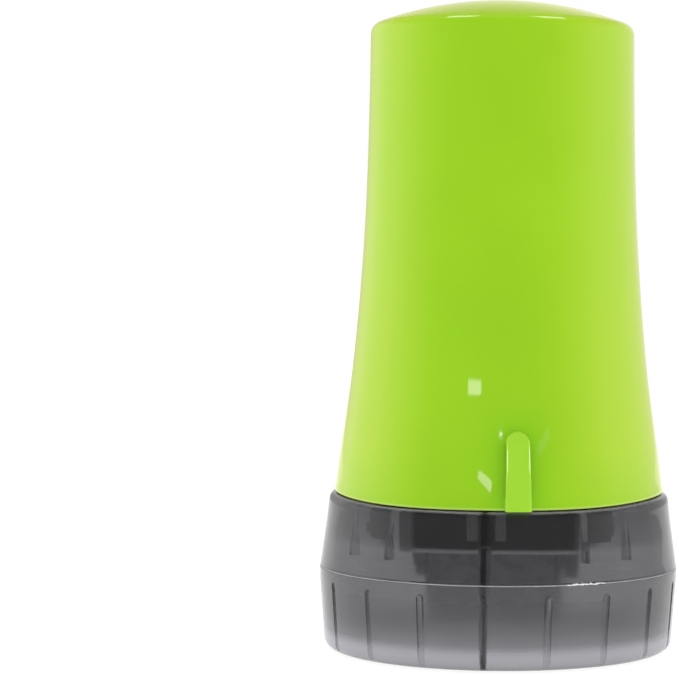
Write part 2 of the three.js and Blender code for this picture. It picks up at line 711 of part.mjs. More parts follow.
function stampRoller() {
  const group = new THREE.Group();
  const half = printWidth / 2;
  const sleeveOuter = printRadius - reliefHeight;
  const sleeveInner = sleeveOuter - printLayer;
  const cushionOuter = sleeveInner - gluedGap;
  const cushionInner = cushionOuter - cushionLayer;
  const coreOuter = cushionInner - gluedGap;
  const coreInner = coreOuter - rimLayer;
  const bushInner = stampAxleRadius + runningGap;
  const bushOuter = bushInner + bushWall;
  const coreBore = bushOuter + gluedGap;
  const hubOuter = coreBore + hubWall;

  const pads = [];
  const padTop = Math.sqrt(printRadius ** 2 - (padWidth / 2) ** 2);
  const padFoot = sleeveOuter - padSink;
  for (let row = 0; row < padRows; row++) {
    for (const [from, to] of padRowShares[row % padRowShares.length]) {
      const pad = new THREE.BoxGeometry((to - from) * printWidth, padWidth, padTop - padFoot);
      pad.translate(((from + to) / 2) * printWidth - half, 0, (padTop + padFoot) / 2);
      pads.push(solid(pad.rotateX(row * 360 / padRows * degree)));
    }
  }
  const sleeve = join(barrel(sleeveOuter, sleeveInner, -half, half, rollerSegments), ...pads);
  group.add(piece('print_sleeve', sleeve, printRubber));
  const cushion = barrel(cushionOuter, cushionInner, -half, half, rollerSegments);
  group.add(piece('cushion_sleeve', cushion, cushionFoam));

  const web = webThickness / 2;
  const spool = [
    [coreOuter, -half], [coreOuter, half], [coreInner, half], [coreInner, web],
    [hubOuter, web], [hubOuter, half], [coreBore, half], [coreBore, -half],
    [hubOuter, -half], [hubOuter, -web], [coreInner, -web], [coreInner, -half], [coreOuter, -half],
  ];
  group.add(piece('roller_core', solid(alongX(turned(spool, hubSegments))), blackPlastic));

  const flangeOuter = printRadius - flangeStep;
  const spigotOuter = coreInner - runningGap;
  const spigotInner = spigotOuter - spigotWall;
  for (const [name, side] of [['roller_flange_left', -1], ['roller_flange_right', 1]]) {
    const inner = half - spigotLength;
    const outer = half + flangeThickness;
    const section = [
      [coreBore, half], [spigotInner, half], [spigotInner, inner], [spigotOuter, inner],
      [spigotOuter, half], [flangeOuter, half], [flangeOuter, outer], [coreBore, outer], [coreBore, half],
    ];
    const profile = side > 0 ? section : section.map(([r, x]) => [r, -x]).reverse();
    group.add(piece(name, solid(alongX(turned(profile, flangeSegments))), blackPlastic));
  }
  for (const [name, side] of [['roller_bush_left', -1], ['roller_bush_right', 1]]) {
    const ends = [side * rollerHalfLength, side * (rollerHalfLength - bushLength)].sort((a, b) => a - b);
    group.add(piece(name, barrel(bushOuter, bushInner, ...ends, hubSegments), whiteAcetal));
  }
  group.add(thrustWasher('thrust_washer_left', -1));
  group.add(thrustWasher('thrust_washer_right', 1));
  group.position.z = stampAxleHeight;
  return group;
}

// Ink roller, made about its own axle

function inkRoller() {
  const group = new THREE.Group();
  const half = foamLength / 2;
  const foamInner = inkRadius - foamLayer;
  const coreOuter = foamInner - gluedGap;
  const coreInner = inkAxleRadius + runningGap;
  const coreHalf = cheekInner - inkEndGap;
  group.add(piece('ink_foam', barrel(inkRadius, foamInner, -half, half, rollerSegments), inkedFoam));
  group.add(piece('ink_core', barrel(coreOuter, coreInner, -coreHalf, coreHalf, pinSegments), whiteAcetal));
  for (const [name, side] of [['ink_collar_left', -1], ['ink_collar_right', 1]]) {
    const ends = [side * half, side * (half + inkCollarThickness)].sort((a, b) => a - b);
    group.add(piece(name, barrel(inkCollarRadius, foamInner, ...ends, pinSegments), blackPlastic));
  }
  group.position.z = inkAxleHeight;
  return group;
}

const stamp = new THREE.Group();
stamp.add(gripShell());
stamp.add(chassis());
stamp.add(capCup());
stamp.add(capCollar());
stamp.add(cartridgeFrame());
stamp.add(cartridgeCover());
stamp.add(axle('stamp_axle', stampAxleRadius, stampAxleHeight));
stamp.add(axle('ink_axle', inkAxleRadius, inkAxleHeight));
stamp.add(stampRoller());
stamp.add(inkRoller());

export default stamp;
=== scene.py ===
# %% [markdown]
# # A privacy roller stamp in its smoky cap
#
# The stamp is a gloss lime bell that a hand holds. Under it sits a black chassis with a small cartridge, and
# in the cartridge a rubber roller prints a dense pattern over an address. A grey see-through cap keeps the
# roller clean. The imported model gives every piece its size, its place and its joint, so this script only
# adds what the eye sees: finer meshes, finishes, light and a camera.

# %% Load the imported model
import math
import random

import bmesh
import bpy
from mathutils import Matrix, Vector


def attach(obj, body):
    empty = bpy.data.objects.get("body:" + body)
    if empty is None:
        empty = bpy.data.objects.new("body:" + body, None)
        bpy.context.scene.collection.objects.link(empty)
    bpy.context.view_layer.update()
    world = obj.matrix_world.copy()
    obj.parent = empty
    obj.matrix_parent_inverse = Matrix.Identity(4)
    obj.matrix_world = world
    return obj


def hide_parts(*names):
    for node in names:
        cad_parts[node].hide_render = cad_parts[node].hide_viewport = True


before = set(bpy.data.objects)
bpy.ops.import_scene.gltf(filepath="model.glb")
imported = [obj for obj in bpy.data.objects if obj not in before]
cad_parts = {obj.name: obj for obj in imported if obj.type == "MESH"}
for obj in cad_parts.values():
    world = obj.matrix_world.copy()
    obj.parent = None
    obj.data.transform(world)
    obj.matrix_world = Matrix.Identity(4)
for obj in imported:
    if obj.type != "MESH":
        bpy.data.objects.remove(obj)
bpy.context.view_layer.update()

print("nodes in the packed model:", len(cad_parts))

# %% [markdown]
# ## Driving sizes
#
# Blender counts in metres and a moulder thinks in millimetres, so one name, `mm`, turns the one into the
# other. The sizes below are the same ones that the solids were made from. Angles round the body start at
# the front, which faces -Y, and grow towards +X.

# %% Driving sizes
mm = 0.001
degree = math.pi / 180

overall_height = 68.33 * mm
mouth_height = 16.2 * mm
mouth_radius = 17.36 * mm
shoulder_radius = 13.88 * mm
dome_radius = 37.2 * mm
shoulder_fillet = 1.3 * mm
shell_wall = 1.5 * mm
ledge_radius = 15 * mm
ledge_height = 17.95 * mm
edge_rise = 0.6 * mm
edge_fade = 1.6 * mm
seam_height = 8.87 * mm
flare_shares = [
    (0, 1), (0.055, 0.912), (0.1, 0.833), (0.185, 0.657), (0.27, 0.496), (0.357, 0.372),
    (0.444, 0.268), (0.53, 0.183), (0.616, 0.119), (0.7, 0.076), (0.8, 0.04), (0.9, 0.015), (1, 0),
]

dome_centre = overall_height - dome_radius
fillet_radius = shoulder_radius - shoulder_fillet
fillet_height = dome_centre + math.sqrt((dome_radius - shoulder_fillet) ** 2 - fillet_radius ** 2)
fillet_end = math.atan2(fillet_height - dome_centre, fillet_radius)
print("centre of the shoulder fillet: %.2f mm up" % (fillet_height / mm))

# %% [markdown]
# ## The camera
#
# A product photographer stands well back with a long lens, so that upright sides stay upright. The picture
# is 679 pixels wide and the stamp stands right of its middle, and a lens shift does that without turning
# the camera. The camera looks down by less than two degrees, from a little to the right of the front.

# %% Camera
picture_width = 679
axis_column = 500.1
focal_pixels = 2597
sensor_width = 36
camera_distance = 274.66 * mm
camera_height = 41.1 * mm
camera_turn = 4.5 * degree
camera_drop = 0.0297
camera_roll = 0.0085


def into_scene(name, data):
    """An object in the scene that holds this data."""
    made = bpy.data.objects.new(name, data)
    bpy.context.scene.collection.objects.link(made)
    return made


camera_data = bpy.data.cameras.new("camera")
camera_data.sensor_width = sensor_width
camera_data.lens = focal_pixels * sensor_width / picture_width
camera_data.shift_x = (picture_width / 2 - axis_column) / picture_width
camera_data.clip_start = 10 * mm
camera = into_scene("camera", camera_data)
camera.matrix_world = (
    Matrix.Rotation(camera_turn, 4, "Z")
    @ Matrix.Translation((0, -camera_distance, camera_height))
    @ Matrix.Rotation(math.pi / 2 - camera_drop, 4, "X")
    @ Matrix.Rotation(camera_roll, 4, "Z")
)
bpy.context.scene.camera = camera
print("lens: %.1f mm, shift: %.3f" % (camera_data.lens, camera_data.shift_x))

# %% [markdown]
# ## Finishes as sums
#
# A finish is a small graph of nodes. Wiring nodes by hand hides the thought behind them, so this cell wraps
# a node's output in a class that Python can add and multiply. An expression such as `0.2 + 0.1 * grain`
# then makes its own Math nodes. Colours go through Mix nodes, because a Math node would turn them grey.

# %% A socket that can be added and multiplied
def both_ways(operation):
    """A sum with the tone as its first value, and the same sum with the tone as its second."""
    def sum_of(finish, first, second):
        return finish.node("Math", {0: first, 1: second}, operation=operation)
    return (lambda tone, other: sum_of(tone.finish, tone, other),
            lambda tone, other: sum_of(tone.finish, other, tone))


class Tone:
    """What comes out of a node, ready for sums."""

    def __init__(self, finish, socket):
        self.finish = finish
        self.socket = socket

    __add__, __radd__ = both_ways("ADD")
    __sub__, __rsub__ = both_ways("SUBTRACT")
    __mul__, __rmul__ = both_ways("MULTIPLY")
    __pow__, __rpow__ = both_ways("POWER")


# %% A finish and its nodes
class Finish:
    """A material whose graph is written as Python expressions."""

    def __init__(self, name):
        self.material = bpy.data.materials.new(name)
        self.material.use_nodes = True
        self.tree = self.material.node_tree
        self.tree.nodes.clear()
        self.place = self.node("TexCoord", {}, "Object")

    def node(self, kind, inputs, output=0, **settings):
        made = self.tree.nodes.new("ShaderNode" + kind)
        for key, value in settings.items():
            setattr(made, key, value)
        for key, value in inputs.items():
            if isinstance(value, Tone):
                self.tree.links.new(value.socket, made.inputs[key])
            else:
                made.inputs[key].default_value = value
        return Tone(self, made.outputs[output]) if made.outputs else made

    def noise(self, size, detail=3, stretch=None):
        place = self.place
        if stretch:
            place = self.node("VectorMath", {0: place, 1: stretch}, operation="MULTIPLY")
        return self.node("TexNoise", {"Vector": place, "Scale": 1 / size, "Detail": detail})

    def cells(self, size):
        return self.node("TexVoronoi", {"Vector": self.place, "Scale": 1 / size})

    def between(self, tone, low, high):
        """0 at the low value and 1 at the high one."""
        return self.node("MapRange", {
            "Value": tone, "From Min": low, "From Max": high, "To Min": 0.0, "To Max": 1.0,
        }, clamp=True)

    def band(self, tone, start, full, fading, end):
        """1 between two values, and 0 outside two wider ones."""
        return self.between(tone, start, full) * self.between(tone, end, fading)

    def ramp(self, tone, stops):
        """A shade that follows stops, each a position and its shade."""
        shade_there = self.node("ValToRGB", {"Fac": tone})
        elements = shade_there.socket.node.color_ramp.elements
        for _ in stops[2:]:
            elements.new(1)
        for stop, (position, shade) in zip(elements, stops):
            stop.position = position
            stop.color = (shade, shade, shade, 1)
        return shade_there

    def mixed(self, share, first, second):
        return self.node("Mix", {0: share, 6: first, 7: second}, 2, data_type="RGBA")

    def bump(self, height, depth, strength):
        return self.node("Bump", {"Height": height, "Distance": depth, "Strength": strength})

    def place_parts(self):
        return [self.node("SeparateXYZ", {"Vector": self.place}, i) for i in range(3)]

    def in_front(self, y):
        """1 before the axis and 0 behind it."""
        return self.between(0 - y, 0, 1 * mm)

    def surface(self, inputs, inside=None, veil=None):
        skin = self.node("BsdfPrincipled", inputs)
        if veil:
            share, milk = veil
            skin = self.node("MixShader", {0: share, 1: skin, 2: self.node("BsdfPrincipled", milk)})
        ends = {"Surface": skin}
        if inside:
            ends["Volume"] = inside
        self.node("OutputMaterial", ends)
        return self.material


def sideways(x, y):
    """0 in front of the axis and behind it, and 1 beside it."""
    return x * x * (x * x + y * y) ** -1


def linear(red, green, blue):
    """A screen colour of 0 to 255 as the light that Blender counts with."""
    shares = [value / 255 for value in (red, green, blue)]
    light = [s / 12.92 if s <= 0.04045 else ((s + 0.055) / 1.055) ** 2.4 for s in shares]
    return (*light, 1.0)


print("lime as light:", [round(v, 3) for v in linear(149, 211, 32)])

# %% [markdown]
# ## Lime plastic
#
# The grip is glossy ABS in bright lime, out of a polished mould. Polished plastic is never quite flat: the
# skin ripples by a micron or two, and hands leave faint smudges that dull the gloss. So two soft noises
# drive the roughness and a very shallow bump, and the colour itself drifts by a hair. The plastic isn't quite
# opaque either, and a tinted sheen lights its outline. On the shell, light and shade are painted into the
# colour: painted shade low on the front, painted light on the sides, painted shade beside the strap bar
# and a painted highlight along the thin lower edge.

# %% Lime plastic
bar_across = 3.2 * mm
shade_across = (3.6 * mm, 1.2 * mm)
shade_heights = (26.5 * mm, 23.6 * mm)
painted_front_shade_heights = (42 * mm, 20 * mm)
painted_flank_heights = (17 * mm, 65 * mm)
painted_flank_stops = [(0, 0.4), (0.1, 1), (0.38, 0.85), (0.54, 0.62), (0.75, 0.5), (0.94, 0.6), (1, 0.75)]


def lime_with_painted_light(finish, colour, red, green, blue):
    """Lime with painted light and shade, set by its place on the shell."""
    x, y, z = finish.place_parts()
    side = sideways(x, y)
    across = ((x - bar_across) * (x - bar_across)) ** 0.5
    # Painted shade: the shell is a deeper, darker green beside the strap bar.
    painted_bar_shade = finish.between(across, *shade_across) * finish.between(z, *shade_heights) * finish.in_front(y)
    # Painted light: the sides of the shell are paler.
    painted_flank_light = finish.ramp(finish.between(z, *painted_flank_heights), painted_flank_stops) * finish.between(side, 0.1, 0.5)
    # Painted highlight: a pale band along the thin lower edge of the mouth.
    above_mouth = z - edge_rise * side ** 2 - mouth_height
    # Painted shade low on the front comes first, then the painted light, shade and highlight made above.
    for share, shade in (
        (finish.between(z, *painted_front_shade_heights) * (1 - side) * 0.25, (red - 15, green - 12, blue)),
        (painted_flank_light, (red + 18, green + 5, 28)),
        (painted_bar_shade * 0.55, (red - 18, green - 1, 0)),
        (finish.between(above_mouth, 0.3 * mm, 0.1 * mm) * 0.7, (205, 240, 110)),
    ):
        colour = finish.mixed(share, colour, linear(*shade))
    return colour


def lime_plastic(name, gloss, lime_colour, glow, shell=True):
    finish = Finish(name)
    red, green, blue = lime_colour
    drift = finish.between(finish.noise(14 * mm, 2), 0.35, 0.65)
    smudge = finish.noise(5 * mm, 4)
    ripple = finish.noise(1.6 * mm, 2)
    colour = finish.mixed(drift, linear(red, green, blue), linear(red + 4, green + 6, blue + 6))
    # Only the shell takes the painted light and shade.
    return finish.surface({
        "Base Color": lime_with_painted_light(finish, colour, red, green, blue) if shell else colour,
        "Roughness": gloss + 0.03 * finish.between(smudge, 0.4, 0.8),
        "Normal": finish.bump(ripple, 0.004 * mm, 0.5),
        "Specular IOR Level": 0.42,
        "Sheen Weight": glow,
        "Sheen Roughness": 0.62,
        "Sheen Tint": (1.0, 0.85, 0.25, 1.0),
    })


lime = lime_plastic("lime_plastic", 0.045, (143, 200, 8), 0.42)
satin_lime = lime_plastic("satin_lime_plastic", 0.05, (153, 207, 44), 0.1, shell=False)
print("lime plastic has", len(lime.node_tree.nodes), "nodes")

# %% [markdown]
# ## Smoky plastic
#
# The cap is see-through polystyrene with a grey dye. Light bends when it enters the wall and again when it
# leaves, and that draws the flutes as dark and light lines. The dye takes light away over the distance that
# it travels inside, so a deep rib seen end-on looks much darker than a wall. That is what a volume of
# absorption does. The outside is polished, and the inside is duller, most of all low down in the cup. A milky
# skin, strongest just above the table, shows that wear has frosted the foot. It leaves out the key, which
# stays dark.

# %% Smoky plastic
lower_wall_middle = 17.72 * mm
cone_height = 8 * mm
cone_lean = 0.137
inner_skin = (15.8 * mm, 16.3 * mm)
above_floor = (1.35 * mm, 1.55 * mm)
dull_heights = (11 * mm, 2 * mm)
rim_heights = (15.8 * mm, 16 * mm)
foot_shade = (0.2 * mm, 1.5 * mm)
key_half = (0.34 * mm, 0.2 * mm)
frost_top = 16.5 * mm
frost_stops = [
    (0, 0.015), (0.12, 0.012), (0.21, 0.01), (0.24, 0.012), (0.27, 0.045), (0.335, 0.042), (0.51, 0.055),
    (0.66, 0.06), (0.745, 0.09), (0.83, 0.17), (0.89, 0.42), (0.95, 0.5), (0.97, 0.42), (1, 0.2),
]


def smoky_plastic():
    finish = Finish("smoky_plastic")
    haze = finish.noise(3 * mm, 4)
    x, y, z = finish.place_parts()
    distance = (x * x + y * y) ** 0.5
    lean = cone_lean * finish.between(z, seam_height, seam_height + cone_height) * cone_height
    inside = finish.between(lower_wall_middle - lean - distance, -0.05 * mm, 0.05 * mm)
    inside = inside * finish.between(z, *above_floor)
    dull = inside * finish.between(distance, *inner_skin)
    low = finish.between(z, *dull_heights)
    dye = finish.node("VolumeAbsorption", {"Color": (0.5, 0.5, 0.51, 1), "Density": 1400.0})
    rim = finish.between(z - edge_rise * sideways(x, y) ** 2, *rim_heights)
    frost = finish.ramp(finish.between(z, frost_top, 0), frost_stops) + rim * 0.18
    key = finish.between(x * x, key_half[0] ** 2, key_half[1] ** 2) * finish.in_front(y)
    milk = finish.mixed(haze, (0.72, 0.71, 0.78, 1), (0.78, 0.77, 0.84, 1))
    return finish.surface({
        "Base Color": finish.mixed(haze, (0.94, 0.94, 0.95, 1), (0.99, 0.99, 0.99, 1)),
        "Roughness": 0.03 + 0.03 * haze + dull * (0.09 + 0.31 * low),
        "Normal": finish.bump(haze, 0.004 * mm, 0.3),
        "Transmission Weight": 1.0,
        "IOR": 1.5,
    }, inside=dye, veil=(frost * (1 - inside) * (1 - 0.9 * key), {
        "Base Color": finish.mixed(finish.between(z, *foot_shade), (0.48, 0.48, 0.5, 1), milk),
        "Roughness": 0.5 + 0.1 * haze,
        "Specular IOR Level": 0.2,
    }))


smoky = smoky_plastic()
print("smoky plastic has", len(smoky.node_tree.nodes), "nodes")

# %% [markdown]
# ## Moulded plastics inside
#
# The chassis is black, the cartridge dark grey and the small bearings white acetal. All three come out of
# spark-eroded moulds, which leave a fine even grain, so one function makes them from a colour, a gloss and
# the size and depth of the grain. On the chassis, highlights are painted in where the cap rubs it: a paler
# colour and a glow stand in for the light that its edges catch even inside the dark cap. They are the foot
# of the neck, the fingers, most of all at their edges, and the neck's left corners.

# %% Grained plastics
neck_reach = (14.1 * mm, 14.4 * mm)
spared_right = 0.45 * mm
foot_heights = (12 * mm, 11.75 * mm)
painted_highlight_heights = (15.8 * mm, 15.2 * mm)
finger_edge = (8.8 * mm, 9 * mm, 9.5 * mm, 9.7 * mm)


def painted_neck_highlights(finish):
    """Where highlights are painted on the chassis, at the places that the cap rubs."""
    x, y, z = finish.place_parts()
    distance = (x * x + y * y) ** 0.5
    spared = spared_right * finish.between(x, 0, 1 * mm)
    beyond_neck = finish.between(distance - spared, *neck_reach)
    foot = finish.between(z, *foot_heights) * (1 - beyond_neck)
    edge = finish.band(x * x, *[across ** 2 for across in finger_edge])
    fingers = (0.3 + 0.7 * edge) * beyond_neck
    return (0.65 * foot + fingers) * finish.between(z, *painted_highlight_heights)


def grained_plastic(name, dark, light, gloss, grain_size, grain_depth, painted_highlights=None):
    finish = Finish(name)
    grain = finish.noise(grain_size, 3)
    flow = finish.noise(30 * grain_size, 3)
    scuff = finish.noise(12 * grain_size, 5)
    colour = finish.mixed(finish.between(flow, 0.3, 0.7), dark, light)
    glow = (0, 0, 0, 1)
    if painted_highlights:
        # Painted highlights: a paler colour and a glow where the cap rubs the chassis.
        painted_highlight_share = painted_highlights(finish) * (0.7 + 0.3 * grain)
        colour = finish.mixed(painted_highlight_share, colour, linear(150, 150, 153))
        glow = finish.mixed(painted_highlight_share, glow, (0.3, 0.3, 0.3, 1))
    return finish.surface({
        "Base Color": colour,
        "Emission Color": glow,
        "Emission Strength": 1.0,
        "Roughness": gloss + 0.14 * finish.between(scuff, 0.45, 0.75) + 0.05 * grain,
        "Normal": finish.bump(grain, grain_depth, 0.6),
    })


black_recipe = (linear(20, 20, 22), linear(30, 30, 32), 0.14, 0.12 * mm, 0.006 * mm)
black = grained_plastic("black_plastic", *black_recipe)
# The chassis gets painted highlights where the cap rubs it.
chassis_black_painted_highlights = grained_plastic("chassis_plastic_painted_highlights", *black_recipe, painted_highlights=painted_neck_highlights)
grey = grained_plastic(
    "grey_plastic", linear(110, 112, 117), linear(122, 124, 129), 0.4, 0.16 * mm, 0.008 * mm)
acetal = grained_plastic(
    "acetal", linear(222, 219, 210), linear(232, 230, 222), 0.34, 0.1 * mm, 0.003 * mm)
print("grained plastics:", [made.name for made in (black, grey, chassis_black_painted_highlights, acetal)])

# %% [markdown]
# ## Rubber, foam and steel
#
# The printing sleeve is laser-cut rubber: matt, with ink dried unevenly on it. The cushion below is a fine
# closed foam. The ink roller is open foam soaked in black ink, so its pores show and its wet skin shines in
# places. The axles are drawn steel, with fine lines along their length.

# %% Rubber and foams
def print_rubber():
    finish = Finish("print_rubber")
    ink = finish.between(finish.noise(2.2 * mm, 5), 0.42, 0.62)
    grit = finish.noise(0.15 * mm, 2)
    return finish.surface({
        "Base Color": finish.mixed(ink, linear(135, 136, 142), linear(84, 86, 94)),
        "Roughness": 0.78 - 0.3 * ink,
        "Normal": finish.bump(grit, 0.012 * mm, 0.7),
    })


def closed_foam():
    finish = Finish("cushion_foam")
    bubbles = finish.cells(0.35 * mm)
    shade = finish.between(bubbles, 0.1, 0.7)
    return finish.surface({
        "Base Color": finish.mixed(shade, linear(92, 94, 99), linear(126, 128, 133)),
        "Roughness": 0.95 - 0.05 * shade,
        "Normal": finish.bump(bubbles, 0.05 * mm, 0.8),
    })


def inked_foam():
    finish = Finish("ink_foam")
    pores = finish.cells(0.5 * mm)
    open_share = finish.between(pores, 0.05, 0.5)
    wet = finish.between(finish.noise(3 * mm, 3), 0.45, 0.65)
    return finish.surface({
        "Base Color": finish.mixed(open_share, linear(8, 8, 14), linear(34, 35, 44)),
        "Roughness": 0.9 - 0.45 * wet,
        "Normal": finish.bump(pores, 0.12 * mm, 0.9),
    })


rubber = print_rubber()
cushion = closed_foam()
ink_sponge = inked_foam()
print("soft finishes:", [made.name for made in (rubber, cushion, ink_sponge)])

# %% Drawn steel
def drawn_steel():
    finish = Finish("steel")
    lines = finish.noise(0.06 * mm, 2, stretch=(0.02, 1, 1))
    handled = finish.noise(2 * mm, 3)
    shine = finish.between(lines, 0.3, 0.7)
    return finish.surface({
        "Base Color": finish.mixed(shine, linear(176, 178, 181), linear(205, 206, 208)),
        "Metallic": 1.0,
        "Roughness": 0.16 + 0.12 * lines + 0.08 * handled,
        "Normal": finish.bump(lines, 0.002 * mm, 0.5),
    })


steel = drawn_steel()
print("steel has", len(steel.node_tree.nodes), "nodes")

# %% [markdown]
# ## Curves and turned forms
#
# Nearly everything here is turned on a lathe or moulded round an axis. A profile is a list of distances from
# the axis and heights, and turning it makes one ring of corners for each point. A ring of one corner closes
# the form on the axis. Working on plain corners keeps every size exact, which a subdivided cage would not.

# %% Lines and arcs
def arc(centre, radius, start, end, steps):
    """Points on an arc, with its angles in degrees."""
    turns = [(start + (end - start) * i / steps) * degree for i in range(steps + 1)]
    return [(centre[0] + radius * math.cos(a), centre[1] + radius * math.sin(a)) for a in turns]


def eased(corners, steps=3):
    """A closed outline of (x, y, setback) corners, each replaced by a short curve."""
    line = []
    for i, (x, y, setback) in enumerate(corners):
        here = Vector((x, y))
        if setback == 0:
            line.append((x, y))
            continue
        before = (Vector(corners[i - 1][:2]) - here).normalized() * setback
        after = (Vector(corners[(i + 1) % len(corners)][:2]) - here).normalized() * setback
        for step in range(steps + 1):
            t = step / steps
            line.append(tuple(here + before * (1 - t) ** 2 + after * t ** 2))
    return line


def smooth_line(points, steps):
    """More points on the smooth curve through the given ones."""
    line = []
    for i in range(len(points) - 1):
        near = [points[max(i - 1, 0)], points[i], points[i + 1], points[min(i + 2, len(points) - 1)]]
        for step in range(steps):
            t = step / steps
            line.append(tuple(
                b + (c - a) / 2 * t + (a - 2.5 * b + 2 * c - d / 2) * t ** 2
                + (3 * b - a - 3 * c + d) / 2 * t ** 3
                for a, b, c, d in zip(*near)
            ))
    return line + [points[-1]]


print("an eased square has", len(eased([(0, 0, 1), (9, 0, 1), (9, 9, 1), (0, 9, 1)])), "points")


# %% Rings of corners
def about_z(radius, height, angle):
    """A place round the upright axis, with the angle counted from the front towards +X."""
    return Vector((radius * math.sin(angle), -radius * math.cos(angle), height))


def about_axle(axle_height):
    """Places round an axle that lies along X."""
    def place(radius, along, angle):
        return Vector((along, radius * math.cos(angle), axle_height + radius * math.sin(angle)))
    return place


def even_turns(count):
    return [2 * math.pi * i / count for i in range(count)]


def bridge(mesh, low, high):
    """Faces between two closed loops of corners. A loop may be a single corner."""
    count = max(len(low), len(high))
    for i in range(count if count > 1 else 0):
        j = (i + 1) % count
        corners = [low[i % len(low)], low[j % len(low)], high[j % len(high)], high[i % len(high)]]
        mesh.faces.new(list(dict.fromkeys(corners)))


def turned(mesh, profile, angles, place=about_z):
    """Turn a closed profile, or one that ends on the axis at both ends."""
    rings = []
    for radius, height in profile:
        around = angles if radius > 0 else angles[:1]
        rings.append([mesh.verts.new(place(radius, height, angle)) for angle in around])
    for low, high in zip(rings, rings[1:] + rings[:1]):
        bridge(mesh, low, high)


def lofted(mesh, sections, closed=False):
    """A skin through sections of equally many points. Closed means that the last meets the first."""
    loops = [[mesh.verts.new(point) for point in section] for section in sections]
    for low, high in zip(loops, loops[1:] + (loops[:1] if closed else [])):
        bridge(mesh, low, high)
    if not closed:
        mesh.faces.new(loops[0])
        mesh.faces.new(loops[-1])


print("helpers ready: rings, turned forms and lofts")

# %% [markdown]
# ## From mesh to piece
#
# A piece must say three things about itself: which moving body it rides on, which moulding of the packed
# model it stands for, and which finish it takes. One function does all that. It also turns every face
# outwards, shades it smooth and keeps the real edges sharp. Where a piece asks for it, a narrow bevel catches
# the light along them, because no moulded edge is truly sharp.

# %% Make a piece
def placed(name, mesh, material=None):
    """An object from a mesh, with every face turned outwards."""
    bmesh.ops.recalc_face_normals(mesh, faces=mesh.faces)
    data = bpy.data.meshes.new(name)
    mesh.to_mesh(data)
    mesh.free()
    if material:
        data.materials.append(material)
    return into_scene(name, data)


def eased_edges(piece, width, angle):
    """Ease the sharp edges of a piece by a narrow bevel."""
    bevel = piece.modifiers.new("eased_edges", "BEVEL")
    bevel.width = width
    bevel.segments = 2
    bevel.limit_method = "ANGLE"
    bevel.angle_limit = angle * degree
    bevel.harden_normals = True
    bevel.use_clamp_overlap = True


def finished(name, mesh, material, body, nodes, sharp=30, bevel=0, bevel_angle=40):
    """A piece of the stamp, which rides on a body and stands for the nodes that it names."""
    piece = placed(name, mesh, material)
    piece.data.shade_smooth()
    piece.data.set_sharp_from_angle(angle=sharp * degree)
    if bevel:
        eased_edges(piece, bevel, bevel_angle)
    if nodes:
        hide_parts(*nodes)
    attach(piece, body)
    print(name, "has", len(piece.data.polygons), "faces")


def block(mesh, low, high, turn=0):
    """A box between two corners in millimetres, turned about Z."""
    centre = Matrix.Translation([(a + b) / 2 * mm for a, b in zip(low, high)])
    size = Matrix.Diagonal((*[abs(b - a) * mm for a, b in zip(low, high)], 1))
    bmesh.ops.create_cube(mesh, size=1, matrix=Matrix.Rotation(turn * degree, 4, "Z") @ centre @ size)


def ring_block(mesh, radii, angle, span, heights, steps=8):
    """A stretch of an upright ring: its radii, the angle of its middle, its span and its heights."""
    (inner, outer), (foot, top) = radii, heights
    sections = []
    for step in range(steps + 1):
        at = (angle + span * (step / steps - 0.5)) * degree
        corners = ((inner, foot), (outer, foot), (outer, top), (inner, top))
        sections.append([about_z(radius, height, at) for radius, height in corners])
    lofted(mesh, sections)


print("ready to make pieces")

# %% [markdown]
# ## Ribs that are one with their wall
#
# In a see-through moulding every inner skin shows, and light that meets a rib's end inside a wall bends
# where nothing is. Ribs that merely stick into the wall won't do there. An exact Boolean union takes the
# hidden skins out, as if wall and ribs had been moulded together, which they were.

# %% Mould together
def moulded(wall, *extras):
    """One closed skin round a wall and what stands on it."""
    bodies = [placed("moulding", part) for part in (wall, *extras)]
    for extra in bodies[1:]:
        union = bodies[0].modifiers.new("union", "BOOLEAN")
        union.operation = "UNION"
        union.solver = "EXACT"
        union.object = extra
    whole = bmesh.new()
    whole.from_object(bodies[0], bpy.context.evaluated_depsgraph_get())
    for body in bodies:
        bpy.data.objects.remove(body)
    return whole


print("ribs can be moulded on")

# %% [markdown]
# ## The grip shell
#
# The shell is one injection moulding: a bell that flares to its mouth, a soft shoulder and a shallow dome.
# Its outline was measured as shares of its height, and a smooth curve runs through them. The mouth lies
# slightly higher at the sides than at the front, as the cap's rim does below it. The wall is real, with an
# inside, so that the grip still looks right when it is pulled off.

# %% Outline of the shell
shell_columns = even_turns(192)
wall_line = [
    (shoulder_radius + (mouth_radius - shoulder_radius) * flare,
     mouth_height + (fillet_height - mouth_height) * share)
    for share, flare in smooth_line(flare_shares, 6)
]


def wall_radius(height):
    """Distance of the shell's skin from the axis."""
    for (r0, h0), (r1, h1) in zip(wall_line, wall_line[1:]):
        if height <= h1:
            return r0 + (r1 - r0) * (height - h0) / (h1 - h0)
    return shoulder_radius


def raised(radius, height, angle, start, end):
    """The sides of the mouth and of the cap's rim lie a little higher than the front and the back."""
    share = min(max((height - start) / (end - start), 0), 1)
    return about_z(radius, height + edge_rise * share * math.sin(angle) ** 4, angle)


def shell_place(radius, height, angle):
    return raised(radius, height, angle, mouth_height + edge_fade, mouth_height)


print("the shell is %.2f mm wide halfway up" % (2 * wall_radius(overall_height / 2) / mm))

# %% Skin of the shell
plate_top = mouth_height + 1.45 * mm
seat_radius = 15.75 * mm
hook_band_top = 24.1 * mm

shell_outside = wall_line[1:]
shell_outside += arc((fillet_radius, fillet_height), shoulder_fillet, 0, fillet_end / degree, 10)[1:]
shell_outside += arc((0, dome_centre), dome_radius, fillet_end / degree, 90, 24)[1:-1] + [(0, overall_height)]

